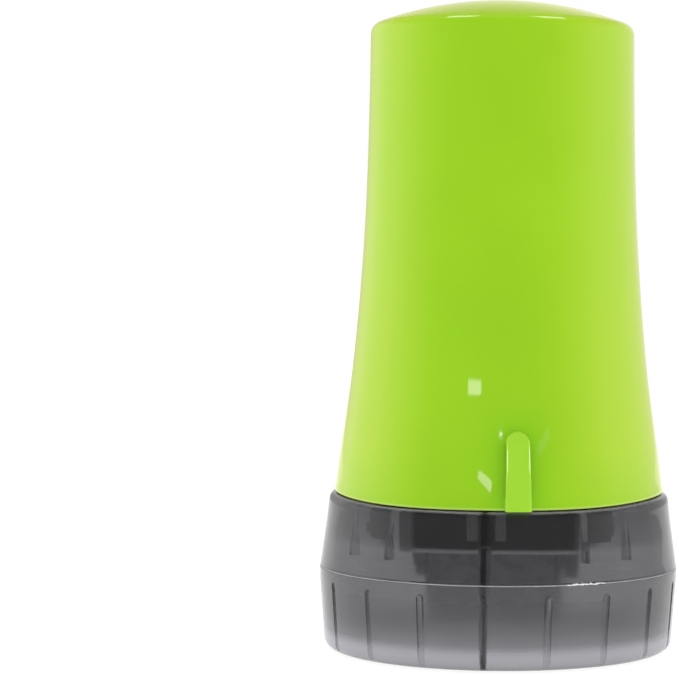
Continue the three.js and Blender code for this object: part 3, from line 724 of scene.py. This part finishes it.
hollow_radius = dome_radius - shell_wall
hollow_corner = math.acos((shoulder_radius - shell_wall) / hollow_radius)
shell_inside = [(0, dome_centre + hollow_radius)]
shell_inside += arc((0, dome_centre), hollow_radius, 90, hollow_corner / degree, 12)[1:]
wall_top = shell_inside[-1][1]
for i in range(1, 20):
    height = wall_top + (hook_band_top - wall_top) * i / 20
    shell_inside.append((min(ledge_radius, wall_radius(height) - shell_wall), height))
shell_inside.append((ledge_radius, hook_band_top))

mouth = eased([
    (ledge_radius, ledge_height, 0.15 * mm),
    (seat_radius, ledge_height, 0.12 * mm),
    (seat_radius, mouth_height, 0.18 * mm),
    (mouth_radius, mouth_height, 0.26 * mm),
    (wall_radius(mouth_height + 1 * mm), mouth_height + 1 * mm, 0),
    (ledge_radius, ledge_height + 1 * mm, 0),
], 5)[:-2]
shell_skin = mouth + [point for point in shell_outside if point[1] > mouth_height + 0.3 * mm] + shell_inside
print("the shell's profile has", len(shell_skin), "points")

# %% [markdown]
# ## The strap bar
#
# Low on the front sits a short upright bar that a strap can pass behind. It stands proud of the bell, its
# top is round, and a narrow gap runs behind it. A loft of level sections follows the bell's slope, and the
# back of each section either sinks into the wall or stays clear of it.

# %% Strap bar
strap_angle = 10.7
strap_top = 24.1 * mm
strap_widths = (2.65 * mm, 2.3 * mm)
strap_proud = 1.45 * mm
strap_thickness = 0.75 * mm
strap_foot = 1.4 * mm
strap_root = 1.3 * mm
strap_sink = 0.6 * mm


def strap_section(height, inner):
    """Corners of one level section: across the bar and away from the axis."""
    up = (height - mouth_height) / (strap_top - mouth_height)
    half = (strap_widths[0] + (strap_widths[1] - strap_widths[0]) * up) / 2
    over = height - (strap_top - strap_widths[1] / 2)
    if over > 0:
        half = math.sqrt(max(half ** 2 - over ** 2, (0.02 * mm) ** 2))
    low = height - (strap_top - strap_root)
    swell = math.sqrt(max(1 - max(low / strap_root, 0) ** 2, 0))
    wall = wall_radius(max(height, mouth_height))
    outer = wall + max(strap_proud * swell, 0.03 * mm)
    ease = min(0.42 * mm, half * 0.8, (outer - wall - inner) * 0.45)
    corners = eased([
        (half, wall + inner, min(0.1 * mm, ease)), (half, outer, ease),
        (-half, outer, ease), (-half, wall + inner, min(0.1 * mm, ease)),
    ], 6)
    turn = strap_angle * degree
    return [Vector((x * math.cos(turn) + r * math.sin(turn), x * math.sin(turn) - r * math.cos(turn), height))
            for x, r in corners]


def strap_bar(mesh):
    clear = strap_proud - strap_thickness
    gap_foot = mouth_height + strap_foot
    gap_top = strap_top - strap_root
    heights = [(mouth_height + 0.04 * mm, -strap_sink), (gap_foot - 0.25 * mm, -strap_sink)]
    heights += [(gap_foot, -0.1 * mm), (gap_foot, clear)]
    heights += [(gap_foot + (gap_top - gap_foot) * i / 12, clear) for i in range(1, 13)]
    heights += [(gap_top + 0.001 * mm, -0.1 * mm), (gap_top + 0.05 * mm, -strap_sink)]
    heights += [(gap_top + (strap_root - 0.02 * mm) * math.sin(i / 14 * math.pi / 2), -strap_sink)
                for i in range(1, 15)]
    lofted(mesh, [strap_section(height, inner) for height, inner in heights])


bar_mesh = bmesh.new()
strap_bar(bar_mesh)
finished("lime_strap_bar", bar_mesh, satin_lime, "grip", [], sharp=40)
print("the strap bar is %.2f mm high" % ((strap_top - mouth_height) / mm))

# %% [markdown]
# ## Ribs and catches inside the grip
#
# Four ribs under the shoulder keep the bell stiff and hold the chassis down. Two catches low inside the bell
# hold the chassis's hooks. They only show when the grip is off its chassis, so plain blocks are enough.

# %% Grip shell
shell_rib = ((10.38, -0.5, 38.3), (13.13, 0.5, 64.75))
shell_catch = ((-2.6, 14.1, 20.9), (2.6, 15.75, 22.2))

shell_mesh = bmesh.new()
turned(shell_mesh, shell_skin, shell_columns, shell_place)
for i in range(4):
    block(shell_mesh, *shell_rib, 45 + 90 * i)
for turn in (0, 180):
    block(shell_mesh, *shell_catch, turn)
finished("lime_grip_shell", shell_mesh, lime, "grip", ["grip_shell"], sharp=40)

# %% [markdown]
# ## The smoky cap, upper part
#
# The cap was made in two mouldings, because a cup that is wider inside than its mouth can't leave its core.
# The upper one is a cone with a rounded shoulder, and its wall grows a little thicker towards the rim. Radial
# ribs inside steer the neck of the stamp, and one wider rib is the key that keeps it from turning. The ribs
# show through as dark stripes.

# %% Sizes of the cap
seam_radius = 18.85 * mm
seam_land = 0.95 * mm
cap_foot_radius = 18.35 * mm
cap_wall = 1.4 * mm
cone_top = (17.98 * mm, 15.2 * mm)
rim_height = 16.05 * mm
lip_radius = 16.05 * mm
rise_start = 14 * mm
key_width = 1.2 * mm
key_reach = 15.13 * mm
slope_foot = 1.4 * mm
rib_ease = 0.08 * mm


def collar_place(radius, height, angle):
    return raised(radius, height, angle, rise_start, rim_height)


def wall_middle(height):
    """Middle of the cap's wall, where a rib may end unseen."""
    if height < seam_height:
        share = min(max((height - slope_foot) / (seam_height - seam_land - slope_foot), 0), 1)
        return cap_foot_radius + (seam_radius - cap_foot_radius) * share - cap_wall / 2
    share = min((height - seam_height) / (cone_top[1] - seam_height), 1)
    return seam_radius + (cone_top[0] - seam_radius) * share - cap_wall / 2


def cap_rib(mesh, angle, width, inner, foot, top, round_foot=True):
    """An upright plate that points to the axis, with a round foot or a flat one."""
    half = width / 2
    foot_line = arc((0, foot + half), half, 180, 360, 8) if round_foot else [(-half, foot), (half, foot)]
    outline = [(half, top)] + [(-half, top)] + foot_line
    turn = Matrix.Rotation(angle * degree, 4, "Z")
    sections = []
    for share in (0, 0.04, 1):
        ease = rib_ease if share == 0 else 0
        sections.append([
            turn @ Vector((
                x * (1 - ease / half),
                -(inner + (wall_middle(z) - inner) * share),
                z + (ease if z < foot + half and ease else 0),
            ))
            for x, z in outline
        ])
    lofted(mesh, sections)


print("the cap is %.1f mm across at its seam" % (2 * seam_radius / mm))

# %% Cap collar
rib_top = rim_height - 0.425 * mm
collar_foot = seam_height + 0.02 * mm
rib_angles = (35, 53, 127, 145, 215, 233, 307, 325)
rib_width = 0.7 * mm
rib_reach = 16.35 * mm
rib_foot = 10.7 * mm
lip_blend = 17.16 * mm
shoulder_size = (cone_top[0] - mouth_radius, rim_height - cone_top[1])
collar_line = [(seam_radius - 0.1 * mm, collar_foot), (seam_radius, seam_height + 0.1 * mm)]
collar_line += [
    (seam_radius + (cone_top[0] - seam_radius) * i / 10, seam_height + (cone_top[1] - seam_height) * i / 10)
    for i in range(1, 10)
]
collar_line += [
    (mouth_radius + shoulder_size[0] * math.cos(a), cone_top[1] + shoulder_size[1] * math.sin(a))
    for a in [math.pi / 2 * i / 10 for i in range(11)]
]
collar_line += eased([
    (mouth_radius, rim_height, 0), (lip_radius, rim_height, 0.2 * mm),
    (lip_radius, rim_height - 0.35 * mm, 0.2 * mm), (lip_blend, 11 * mm, 0.6 * mm),
    (seam_radius - cap_wall, collar_foot, 0),
], 4)[1:]

collar_mesh = bmesh.new()
collar_ribs = bmesh.new()
turned(collar_mesh, collar_line, shell_columns, collar_place)
for angle in rib_angles:
    cap_rib(collar_ribs, angle, rib_width, rib_reach, rib_foot, rib_top)
cap_rib(collar_ribs, 0, key_width, key_reach, collar_foot, rib_top, round_foot=False)
finished("smoky_cap_collar", moulded(collar_mesh, collar_ribs), smoky, "cap", ["cap_collar"],
         sharp=35)

# %% [markdown]
# ## The smoky cap, lower part
#
# The lower moulding is the cup that stands on the table. Eighteen round-ended flutes give the fingers a
# grip. Boolean cuts would leave ragged shading, so the flutes are pressed into the skin instead: the columns
# of corners crowd together at each flute, and a corner moves in where the round cutter would have passed.

# %% Where the flutes are
flute_count = 18
flute_radius = 0.42 * mm
flute_depth = 0.32 * mm
flute_top = 7.8 * mm
flute_half = math.sqrt(flute_radius ** 2 - (flute_radius - flute_depth) ** 2)
pad_height = 0.22 * mm
cap_fillet = 1.2 * mm
flute_pitch = 2 * math.pi / flute_count
skin_depth = 1.2 * mm
wall_foot = cap_fillet + pad_height
wall_knee = seam_height - seam_land


def cup_columns():
    """Columns round the cup, crowded at the flutes."""
    near = [flute_half * share for share in (0, 0.25, 0.5, 0.7, 0.85, 0.95, 1, 1.12)]
    offsets = sorted({-x / seam_radius for x in near} | {x / seam_radius for x in near})
    last = offsets[-1]
    between = 14
    offsets += [last + (flute_pitch - 2 * last) * i / between for i in range(1, between)]
    return [flute_pitch * i + offset for i in range(flute_count) for offset in offsets]


def cup_wall(height):
    """Distance of the cup's smooth skin from the axis."""
    share = min((height - wall_foot) / (wall_knee - wall_foot), 1)
    return cap_foot_radius + (seam_radius - cap_foot_radius) * share


def cup_place(radius, height, angle):
    """A corner of the cup's skin, moved in where the cutter passed."""
    wall = cup_wall(height)
    across = ((angle + flute_pitch / 2) % flute_pitch - flute_pitch / 2) * seam_radius
    above = max(height - (flute_top - flute_radius), 0)
    room = flute_radius ** 2 - across ** 2 - above ** 2
    if room > 0 and radius > wall - skin_depth:
        radius = min(radius, wall + flute_radius - flute_depth - math.sqrt(room))
    return about_z(radius, height, angle)


print("the cup has", len(cup_columns()), "columns of corners")

# %% Cap cup
cap_floor = 1.6 * mm
floor_fillet = 0.9 * mm
base_recess = 0.6 * mm
ring_width = 3.2 * mm
ring_inner = cap_foot_radius - cap_fillet - ring_width
key_foot = 7.6 * mm
tail_width = 0.6 * mm
tail_reach = 14.55 * mm
tail_top = 8.2 * mm
rest_radii, rest_heights = (10.8 * mm, 13 * mm), (0, 1.1 * mm)
rest_span = 17
cup_line = [(0, base_recess), (ring_inner * 0.5, base_recess), (ring_inner - 0.4 * mm, base_recess)]
cup_line += [(ring_inner, pad_height)]
cup_line += arc((cap_foot_radius - cap_fillet, wall_foot), cap_fillet, -90, 0, 12)
tip_start = flute_top - flute_radius - 0.05 * mm
levels = [wall_foot + (tip_start - wall_foot) * i / 8 for i in range(1, 9)]
levels += [tip_start + (wall_knee - tip_start) * i / 12 for i in range(1, 13)]
cup_line += [(cup_wall(height), height) for height in levels]
cup_line += [(seam_radius, seam_height - 0.1 * mm), (seam_radius - 0.1 * mm, seam_height)]
cup_line += [(seam_radius - cap_wall, seam_height), (seam_radius - cap_wall, wall_knee)]
corner = (cap_foot_radius - cap_wall - floor_fillet, cap_floor + floor_fillet)
cup_line += arc(corner, floor_fillet, 0, -90, 8)
cup_line += [(ring_inner * 0.5, cap_floor), (0, cap_floor)]

cup_mesh = bmesh.new()
key_mesh = bmesh.new()
tail_mesh = bmesh.new()
turned(cup_mesh, cup_line, cup_columns(), cup_place)
cap_rib(key_mesh, 0, key_width, key_reach, key_foot, seam_height)
cap_rib(tail_mesh, 0, tail_width, tail_reach, cap_floor - 0.3 * mm, tail_top)
for i in range(3):
    ring_block(tail_mesh, rest_radii, 60 + 120 * i, rest_span, rest_heights)
finished("smoky_cap_cup", moulded(cup_mesh, key_mesh, tail_mesh), smoky, "cap", ["cap_cup"],
         sharp=35)

# %% [markdown]
# ## The weld
#
# Ultrasonic welding squeezes a thread of molten plastic out of the joint. It sets rough and pale all the
# way round, and in one place it tore when the mould was stripped. A thin ring with an uneven section does
# both, and its torn stretch gets a wilder random height. Its pale grey is partly the frosted flash's own
# colour and partly a painted highlight along the seam, and near-white patches on its torn stretch are
# painted highlights.

# %% Weld flash
torn_from, torn_to = 26, 39
torn_highlight_reach = (8.1 * mm, 8.3 * mm, 11.8 * mm, 12 * mm)


def weld_flash_and_highlight():
    finish = Finish("weld_flash")
    frost = finish.noise(0.3 * mm, 3)
    x, y, _ = finish.place_parts()
    # The pale grey is partly the flash's own colour and partly a painted highlight; the near-white patches on
    # the torn stretch are painted highlights.
    torn = finish.band(x, *torn_highlight_reach) * finish.in_front(y)
    colour = finish.mixed(frost, linear(120, 120, 124), linear(190, 190, 193))
    return finish.surface({
        "Base Color": finish.mixed(torn * finish.between(frost, 0.25, 0.5), colour, linear(245, 245, 247)),
        "Roughness": 0.35 + 0.3 * frost,
        "Normal": finish.bump(frost, 0.02 * mm, 0.6),
    })


flash_random = random.Random(11)
flash_rings = []
for angle in even_turns(540):
    torn = torn_from < angle / degree < torn_to
    size = (flash_random.uniform(0.05, 0.17) if torn else flash_random.uniform(0.065, 0.08)) * mm
    rise = flash_random.uniform(-0.03, 0.12) * mm if torn else 0
    middle = seam_radius - 0.005 * mm - size
    flash_rings.append([
        about_z(middle + size * math.cos(a), seam_height + rise + size * math.sin(a), angle)
        for a in even_turns(8)
    ])
flash_mesh = bmesh.new()
lofted(flash_mesh, flash_rings, closed=True)
finished("smoky_weld_flash", flash_mesh, weld_flash_and_highlight(), "cap", [], sharp=180)

# %% [markdown]
# ## The chassis
#
# A black moulding fills the mouth of the grip. Its neck reaches down into the cap and shows through the wall
# as a dark block, its plate closes the bell, and its sleeve runs up inside the grip round the cartridge. The
# sleeve is a loft of rounded sections with a second, smaller loft inside it.

# %% Sleeve, neck and plate
def rounded_section(half_x, half_y, corner, height, steps=8):
    points = []
    for i, (sx, sy) in enumerate([(1, 1), (-1, 1), (-1, -1), (1, -1)]):
        centre = (sx * (half_x - corner), sy * (half_y - corner))
        points += [Vector((x, y, height)) for x, y in arc(centre, corner, 90 * i, 90 * i + 90, steps)]
    return points


def sleeve(mesh):
    """A tube round the cartridge: out over its foot, up the outside, in over the top and down the inside."""
    foot, low, high, top = 11.5 * mm, 22.4 * mm, 25.5 * mm, 38 * mm
    inner, outer = (8.8 * mm, 10.8 * mm), (9.9 * mm, 12.1 * mm)
    inner_top, outer_top = (8.8 * mm, 7.7 * mm), (9.9 * mm, 9 * mm)
    ease = 0.25 * mm
    third = ease / 3
    # Each row: half sizes, how much they grow, radius of the corners in millimetres, height.
    lofted(mesh, [
        rounded_section(half[0] + grown, half[1] + grown, corner * mm, height)
        for half, grown, corner, height in (
            (inner, 0, 0.6, foot + ease), (inner, third, 0.7, foot + third), (inner, ease, 0.8, foot),
            (outer, -ease, 1.95, foot), (outer, -third, 2.1, foot + third), (outer, 0, 2.2, foot + ease),
            (outer, 0, 2.2, low), (outer_top, 0, 3, high), (outer_top, 0, 3, top - ease),
            (outer_top, -ease, 2.8, top), (inner_top, ease, 0.8, top), (inner_top, 0, 0.6, top - ease),
            (inner_top, 0, 0.6, high), (inner, 0, 0.6, low),
        )
    ], closed=True)


def neck_plate(mesh):
    """The plate that closes the mouth of the bell, with the neck passing through it."""
    radius, ease = 15.45 * mm, 0.15 * mm
    neck_hole = (9.4 * mm, 11.5 * mm, 3.5 * mm)
    sections = []
    for height, reach in ((mouth_height, None), (mouth_height, radius - ease), (mouth_height + ease, radius),
                          (plate_top - ease, radius), (plate_top, radius - ease), (plate_top, None)):
        section = rounded_section(*neck_hole, height)
        if reach:
            section = [Vector((*(Vector(point[:2]).normalized() * reach), height)) for point in section]
        sections.append(section)
    lofted(mesh, sections, closed=True)


print("the neck has", len(rounded_section(1, 1, 0.2, 0)), "corners round it")

# %% Chassis
finger_angles = (44, 136, 224, 316)
finger_span = 12
finger_radii, finger_heights = (14.6 * mm, 15.6 * mm), (12.6 * mm, 16.9 * mm)
nub_radii, nub_heights = (15.1 * mm, 15.95 * mm), (13.2 * mm, 14.2 * mm)

chassis_mesh = bmesh.new()
sleeve(chassis_mesh)
neck_plate(chassis_mesh)
for angle in finger_angles:
    ring_block(chassis_mesh, finger_radii, angle, finger_span, finger_heights)
    ring_block(chassis_mesh, nub_radii, angle, finger_span, nub_heights)
for side in (-1, 1):
    # A rail beside the cap's key, then a hook that springs behind a catch of the bell.
    block(chassis_mesh, (side * 0.9, -15.45, 13), (side * 1.9, -14.35, 16.9))
    block(chassis_mesh, (-2.2, side * 12.75, 16.9), (2.2, side * 13.8, 23.8))
    block(chassis_mesh, (-2.2, side * 12.75, 22.5), (2.2, side * 14.6, 23.8))
finished("black_chassis", chassis_mesh, chassis_black_painted_highlights, "grip", ["chassis"], sharp=35,
         bevel=0.1 * mm, bevel_angle=60)

# %% [markdown]
# ## The stamp roller
#
# The printing roller is built up in layers: a black core with a web, a foam cushion, and a rubber sleeve
# with its raised pattern. Flanges close the ends. A stamper vulcanises the pattern in one piece with the
# sleeve, so the raised marks are curved to the roller's own radius and not flat blocks.

# %% Print sleeve
stamp_axle_height = 12.1 * mm
print_radius = 9.5 * mm
relief = 0.4 * mm
sleeve_radius = print_radius - relief
sleeve_bore = 7.7 * mm
mark_root = sleeve_radius - 0.3 * mm
print_width = 12.7 * mm
pad_rows = 15
pad_width = 1.7 * mm
pad_row_shares = [
    [(0.03, 0.2), (0.27, 0.36), (0.44, 0.66), (0.73, 0.95)],
    [(0.05, 0.14), (0.22, 0.45), (0.54, 0.63), (0.71, 0.79), (0.87, 0.97)],
    [(0.02, 0.31), (0.39, 0.52), (0.6, 0.84), (0.91, 0.98)],
]
round_stamp_axle = about_axle(stamp_axle_height)


def barrel(mesh, place, radii, ends, ease, columns=64):
    """A ring round an axle with eased edges: its inner and outer radius and its two ends."""
    inner, outer = radii
    near, far = ends
    turned(mesh, eased([(inner, near, ease), (outer, near, ease), (outer, far, ease), (inner, far, ease)], 2),
           even_turns(columns), place)


def rod(mesh, place, radius, half, ease):
    """A rod along an axle, with eased ends."""
    end = [(radius, half - ease), (radius - 0.3 * ease, half - 0.3 * ease), (radius - ease, half), (0, half)]
    start = [(reach, -along) for reach, along in reversed(end)]
    turned(mesh, start + end, even_turns(48), place)


def raised_mark(mesh, place, row, span):
    """One raised mark of the pattern, curved to the roller."""
    half = pad_width / 2 / print_radius
    middle = math.pi / 2 - 2 * math.pi * row / pad_rows
    along = [share * print_width - print_width / 2 for share in span]
    sections = []
    for step in range(7):
        angle = middle + half * (step / 3 - 1)
        corners = [(mark_root, 0), (print_radius, 0), (print_radius, 1), (mark_root, 1)]
        sections.append([place(radius, along[end], angle) for radius, end in corners])
    lofted(mesh, sections)


sleeve_mesh = bmesh.new()
half_width = print_width / 2
barrel(sleeve_mesh, round_stamp_axle, (sleeve_bore, sleeve_radius), (-half_width, half_width), 0.12 * mm, 96)
for row in range(pad_rows):
    for span in pad_row_shares[row % len(pad_row_shares)]:
        raised_mark(sleeve_mesh, round_stamp_axle, row, span)
finished("rubber_print_sleeve", sleeve_mesh, rubber, "stamp_roller", ["print_sleeve"],
         bevel=0.07 * mm)

# %% Flanges
sides = (("left", -1), ("right", 1))
web_inner = half_width - 1.2 * mm
flange_outer = half_width + 0.5 * mm
flange_dish = flange_outer - 0.15 * mm

for name, side in sides:
    flange_mesh = bmesh.new()
    line = eased([(radius * mm, side * along, setback * mm) for radius, along, setback in (
        (2.43, half_width, 0), (4.21, half_width, 0), (4.21, web_inner, 0.1), (4.92, web_inner, 0.1),
        (4.92, half_width, 0), (8.9, half_width, 0.1), (8.9, flange_outer, 0.18), (7.6, flange_outer, 0.1),
        (7.4, flange_dish, 0.05), (4.4, flange_dish, 0.05), (4.2, flange_outer, 0.05),
        (2.43, flange_outer, 0.1),
    )], 2)
    turned(flange_mesh, line, even_turns(72), round_stamp_axle)
    finished("black_roller_flange_" + name, flange_mesh, black, "stamp_roller",
             ["roller_flange_" + name])

# %% [markdown]
# ## Axles and washers
#
# Drawn steel rods are cut to length and their ends chamfered, so that they slide into the cheeks. A thin
# acetal washer on each side keeps the roller's flange off the cheek.

# %% Axles and thrust washers
ink_axle_height = 28.15 * mm
axle_half = 8.4 * mm
for name, height, radius in (("stamp", stamp_axle_height, 1.5 * mm), ("ink", ink_axle_height, 1 * mm)):
    axle_mesh = bmesh.new()
    rod(axle_mesh, about_axle(height), radius, axle_half, 0.2 * mm)
    finished("steel_" + name + "_axle", axle_mesh, steel, "cartridge", [name + "_axle"], sharp=50)

washer_near = flange_outer + 0.075 * mm
washer_thickness = 0.3 * mm
for name, side in sides:
    washer_mesh = bmesh.new()
    ends = sorted([side * washer_near, side * (washer_near + washer_thickness)])
    barrel(washer_mesh, round_stamp_axle, (1.55 * mm, 3.45 * mm), ends, 0.06 * mm)
    finished("acetal_thrust_washer_" + name, washer_mesh, acetal, "cartridge",
             ["thrust_washer_" + name])

# %% [markdown]
# ## The ink roller
#
# A sleeve of open foam on an acetal core feeds the stamp. Black collars close its ends. Foam that is cut on
# a lathe is never quite even, so its skin swells and sinks by a few hundredths of a millimetre.

# %% Ink roller
round_ink_axle = about_axle(ink_axle_height)
unevenness = random.Random(7)
foam_half = half_width
foam_bore, foam_end, foam_ease, foam_radius = 2.8 * mm, 6.1 * mm, 6.22 * mm, 6.25 * mm
swell = 0.05 * mm

foam_skin = [(foam_bore, -foam_half), (foam_end, -foam_half), (foam_ease, -foam_half + 0.12 * mm)]
foam_skin += [(foam_radius, -foam_half + 0.3 * mm + (2 * foam_half - 0.6 * mm) * i / 24) for i in range(25)]
foam_skin += [(foam_ease, foam_half - 0.12 * mm), (foam_end, foam_half), (foam_bore, foam_half)]


def foam_place(radius, along, angle):
    if radius >= foam_ease:
        radius += unevenness.uniform(-swell, swell)
    return round_ink_axle(radius, along, angle)


foam_mesh = bmesh.new()
turned(foam_mesh, foam_skin, even_turns(96), foam_place)
finished("ink_foam_roller", foam_mesh, ink_sponge, "ink_roller", ["ink_foam"], sharp=60)

core_mesh = bmesh.new()
core_half = 7.1 * mm
barrel(core_mesh, round_ink_axle, (1.05 * mm, 2.77 * mm), (-core_half, core_half), 0.15 * mm)
finished("acetal_ink_core", core_mesh, acetal, "ink_roller", ["ink_core"])

for name, side in sides:
    ink_collar_mesh = bmesh.new()
    ends = sorted([side * foam_half, side * (foam_half + 0.5 * mm)])
    barrel(ink_collar_mesh, round_ink_axle, (foam_bore, 5.2 * mm), ends, 0.12 * mm)
    finished("black_ink_collar_" + name, ink_collar_mesh, black, "ink_roller",
             ["ink_collar_" + name])

# %% [markdown]
# ## Pieces that stay as they were packed
#
# The cartridge's two halves, the roller's core, its bushes and its foam cushion already have the right
# shape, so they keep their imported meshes. They get their finish, and the larger ones a bevel, because light
# catches the edge of a moulding and never a perfectly sharp corner.

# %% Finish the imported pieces
kept = {
    "cartridge_frame": grey, "cartridge_cover": grey, "roller_core": black, "roller_bush_left": acetal,
    "roller_bush_right": acetal, "cushion_sleeve": cushion,
}
for name, material in kept.items():
    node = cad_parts[name]
    for place in node.material_slots:
        place.material = material
for name in ("cartridge_frame", "cartridge_cover"):
    eased_edges(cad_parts[name], 0.15 * mm, 50)
print("packed pieces with a new finish:", len(kept))

# %% [markdown]
# ## Floor and light
#
# A product picture of this kind stands on white with white all round. The sky gives an even light, and a
# few lamps add what the eye reads as gloss: soft boxes at both sides, and small ones whose reflections lie as
# bright spots on the bell and the bar. The floor is a light table: white acrylic lit from below, so there is
# hardly a shadow and the see-through cap glows near its foot. The side of the camera and the ceiling are
# dark, as in any studio, and a tent round the scene that only reflections can see brings that darkness onto
# the gloss.

# %% Floor
def light_table():
    finish = Finish("light_table")
    tooth = finish.noise(0.8 * mm, 3)
    patch = finish.noise(60 * mm, 2)
    return finish.surface({
        "Base Color": finish.mixed(patch, (0.19, 0.19, 0.19, 1), (0.21, 0.21, 0.21, 1)),
        "Roughness": 0.85 + 0.1 * tooth,
        "Normal": finish.bump(tooth, 0.01 * mm, 0.3),
        "Specular IOR Level": 0.0,
        "Emission Color": finish.mixed(patch, (0.89, 0.89, 0.89, 1), (0.91, 0.91, 0.91, 1)),
        "Emission Strength": 1.0,
    })


floor_radius, underside = 3000 * mm, -20 * mm
floor_line = [(0, 0), (400 * mm, 0), (floor_radius, 0), (floor_radius, underside), (0, underside)]
floor_mesh = bmesh.new()
turned(floor_mesh, floor_line, even_turns(96))
floor = placed("floor", floor_mesh, light_table())
print("floor is", round(floor.dimensions.x, 2), "m across")

# %% Studio tent
tent_glow = [
    (0, 0.85), (0.06, 0.5), (0.13, 1.0), (0.24, 1.0), (0.36, 0.3), (0.65, 0.3), (0.76, 0.8), (0.92, 0.7),
    (1, 0.85),
]
tent_line = ((900 * mm, -10 * mm), (900 * mm, 700 * mm), (450 * mm, 720 * mm), (0, 730 * mm))


def studio_tent():
    finish = Finish("studio_side")
    x, y, z = finish.place_parts()
    angle = finish.node("Math", {0: x, 1: 0 - y}, operation="ARCTAN2")
    glow = finish.ramp(angle * (1 / (2 * math.pi)) + 0.5, tent_glow)
    return finish.surface({
        "Base Color": (0, 0, 0, 1), "Roughness": 1.0, "Specular IOR Level": 0.0,
        "Emission Color": finish.mixed(finish.between(z, 700 * mm, 350 * mm), (0.12, 0.12, 0.12, 1), glow),
        "Emission Strength": 1.0,
    })


tent_mesh = bmesh.new()
tent_rings = [
    [tent_mesh.verts.new(about_z(radius, height, angle)) for angle in (even_turns(90) if radius else [0])]
    for radius, height in tent_line
]
for low, high in zip(tent_rings, tent_rings[1:]):
    bridge(tent_mesh, low, high)
tent = placed("studio_side", tent_mesh, studio_tent())
for kind in ("camera", "diffuse", "transmission", "shadow"):
    setattr(tent, "visible_" + kind, False)
print("the studio tent is %.0f mm high" % (tent.dimensions.z / mm))

# %% Sky and lamps
bpy.context.scene.view_settings.view_transform = "Standard"
sky = bpy.data.worlds.new("sky")
sky.use_nodes = True
background = sky.node_tree.nodes["Background"].inputs
background["Color"].default_value = (1, 1, 1, 1)
background["Strength"].default_value = 1.0
bpy.context.scene.world = sky


def lamp(name, place, target, size, power, roll=0):
    """A soft box in millimetres: its distance, height and angle from the front, and the height it faces."""
    distance, height, angle = place
    data = bpy.data.lights.new(name, "AREA")
    data.shape = "RECTANGLE"
    data.size, data.size_y = [length * mm for length in size]
    data.energy = power
    made = into_scene(name, data)
    made.location = about_z(distance * mm, height * mm, angle * degree)
    aim = (Vector((0, 0, target * mm)) - made.location).to_track_quat("-Z", "Y")
    made.rotation_euler = (aim.to_matrix() @ Matrix.Rotation(roll * degree, 3, "Z")).to_euler()
    made.visible_camera = False
    return made


lamp("top_soft_box", (120, 700, 20), 40, (500, 500), 0.25)
for name, angle, power in (("left_soft_box", -100, 0.7), ("right_soft_box", 100, 0.55)):
    lamp(name, (500, 120, angle), 40, (300, 500), power).visible_glossy = False
print("soft boxes:", len(bpy.data.lights))

# %% Glints
# Name, place, the height it faces, size, power and roll.
bell_glints = (
    ("upper_spot", (35.4, 32.45, -10.2), 28.5, (4.8, 1.05), 0.00013),
    ("lower_spot", (36.7, 22.2, -2.9), 19.1, (4.8, 1.35), 0.00015, -20),
    ("small_glint", (56.2, 33.1, 5.5), 24.3, (1.8, 0.25), 0.00004),
    ("soft_glint", (35.9, 27.3, 29.2), 23.2, (5, 1.4), 0.00002, 25),
    ("left_top_streak", (131.5, 420, -77.5), 60, (110, 104), 0.3, -43),
    ("right_top_streak", (151.8, 420, 93.8), 60, (110, 108), 0.3, 41),
)
bar_glints = (
    ("left_edge_glint", (107, 34.5, -50.9), 21.3, (60, 3), 0.018),
    ("right_edge_glint", (107, 34.5, 70), 21.3, (60, 3), 0.018),
)
for lit_name, piece_name, glints in (
    ("bell_only", "lime_grip_shell", bell_glints), ("bar_only", "lime_strap_bar", bar_glints),
):
    lit = bpy.data.collections.new(lit_name)
    lit.objects.link(bpy.data.objects[piece_name])
    for row in glints:
        glint = lamp(*row)
        glint.visible_diffuse = False
        glint.data.color = (1, 0.7, 0.9)
        glint.light_linking.receiver_collection = lit
print("lamps in all:", len(bpy.data.lights))
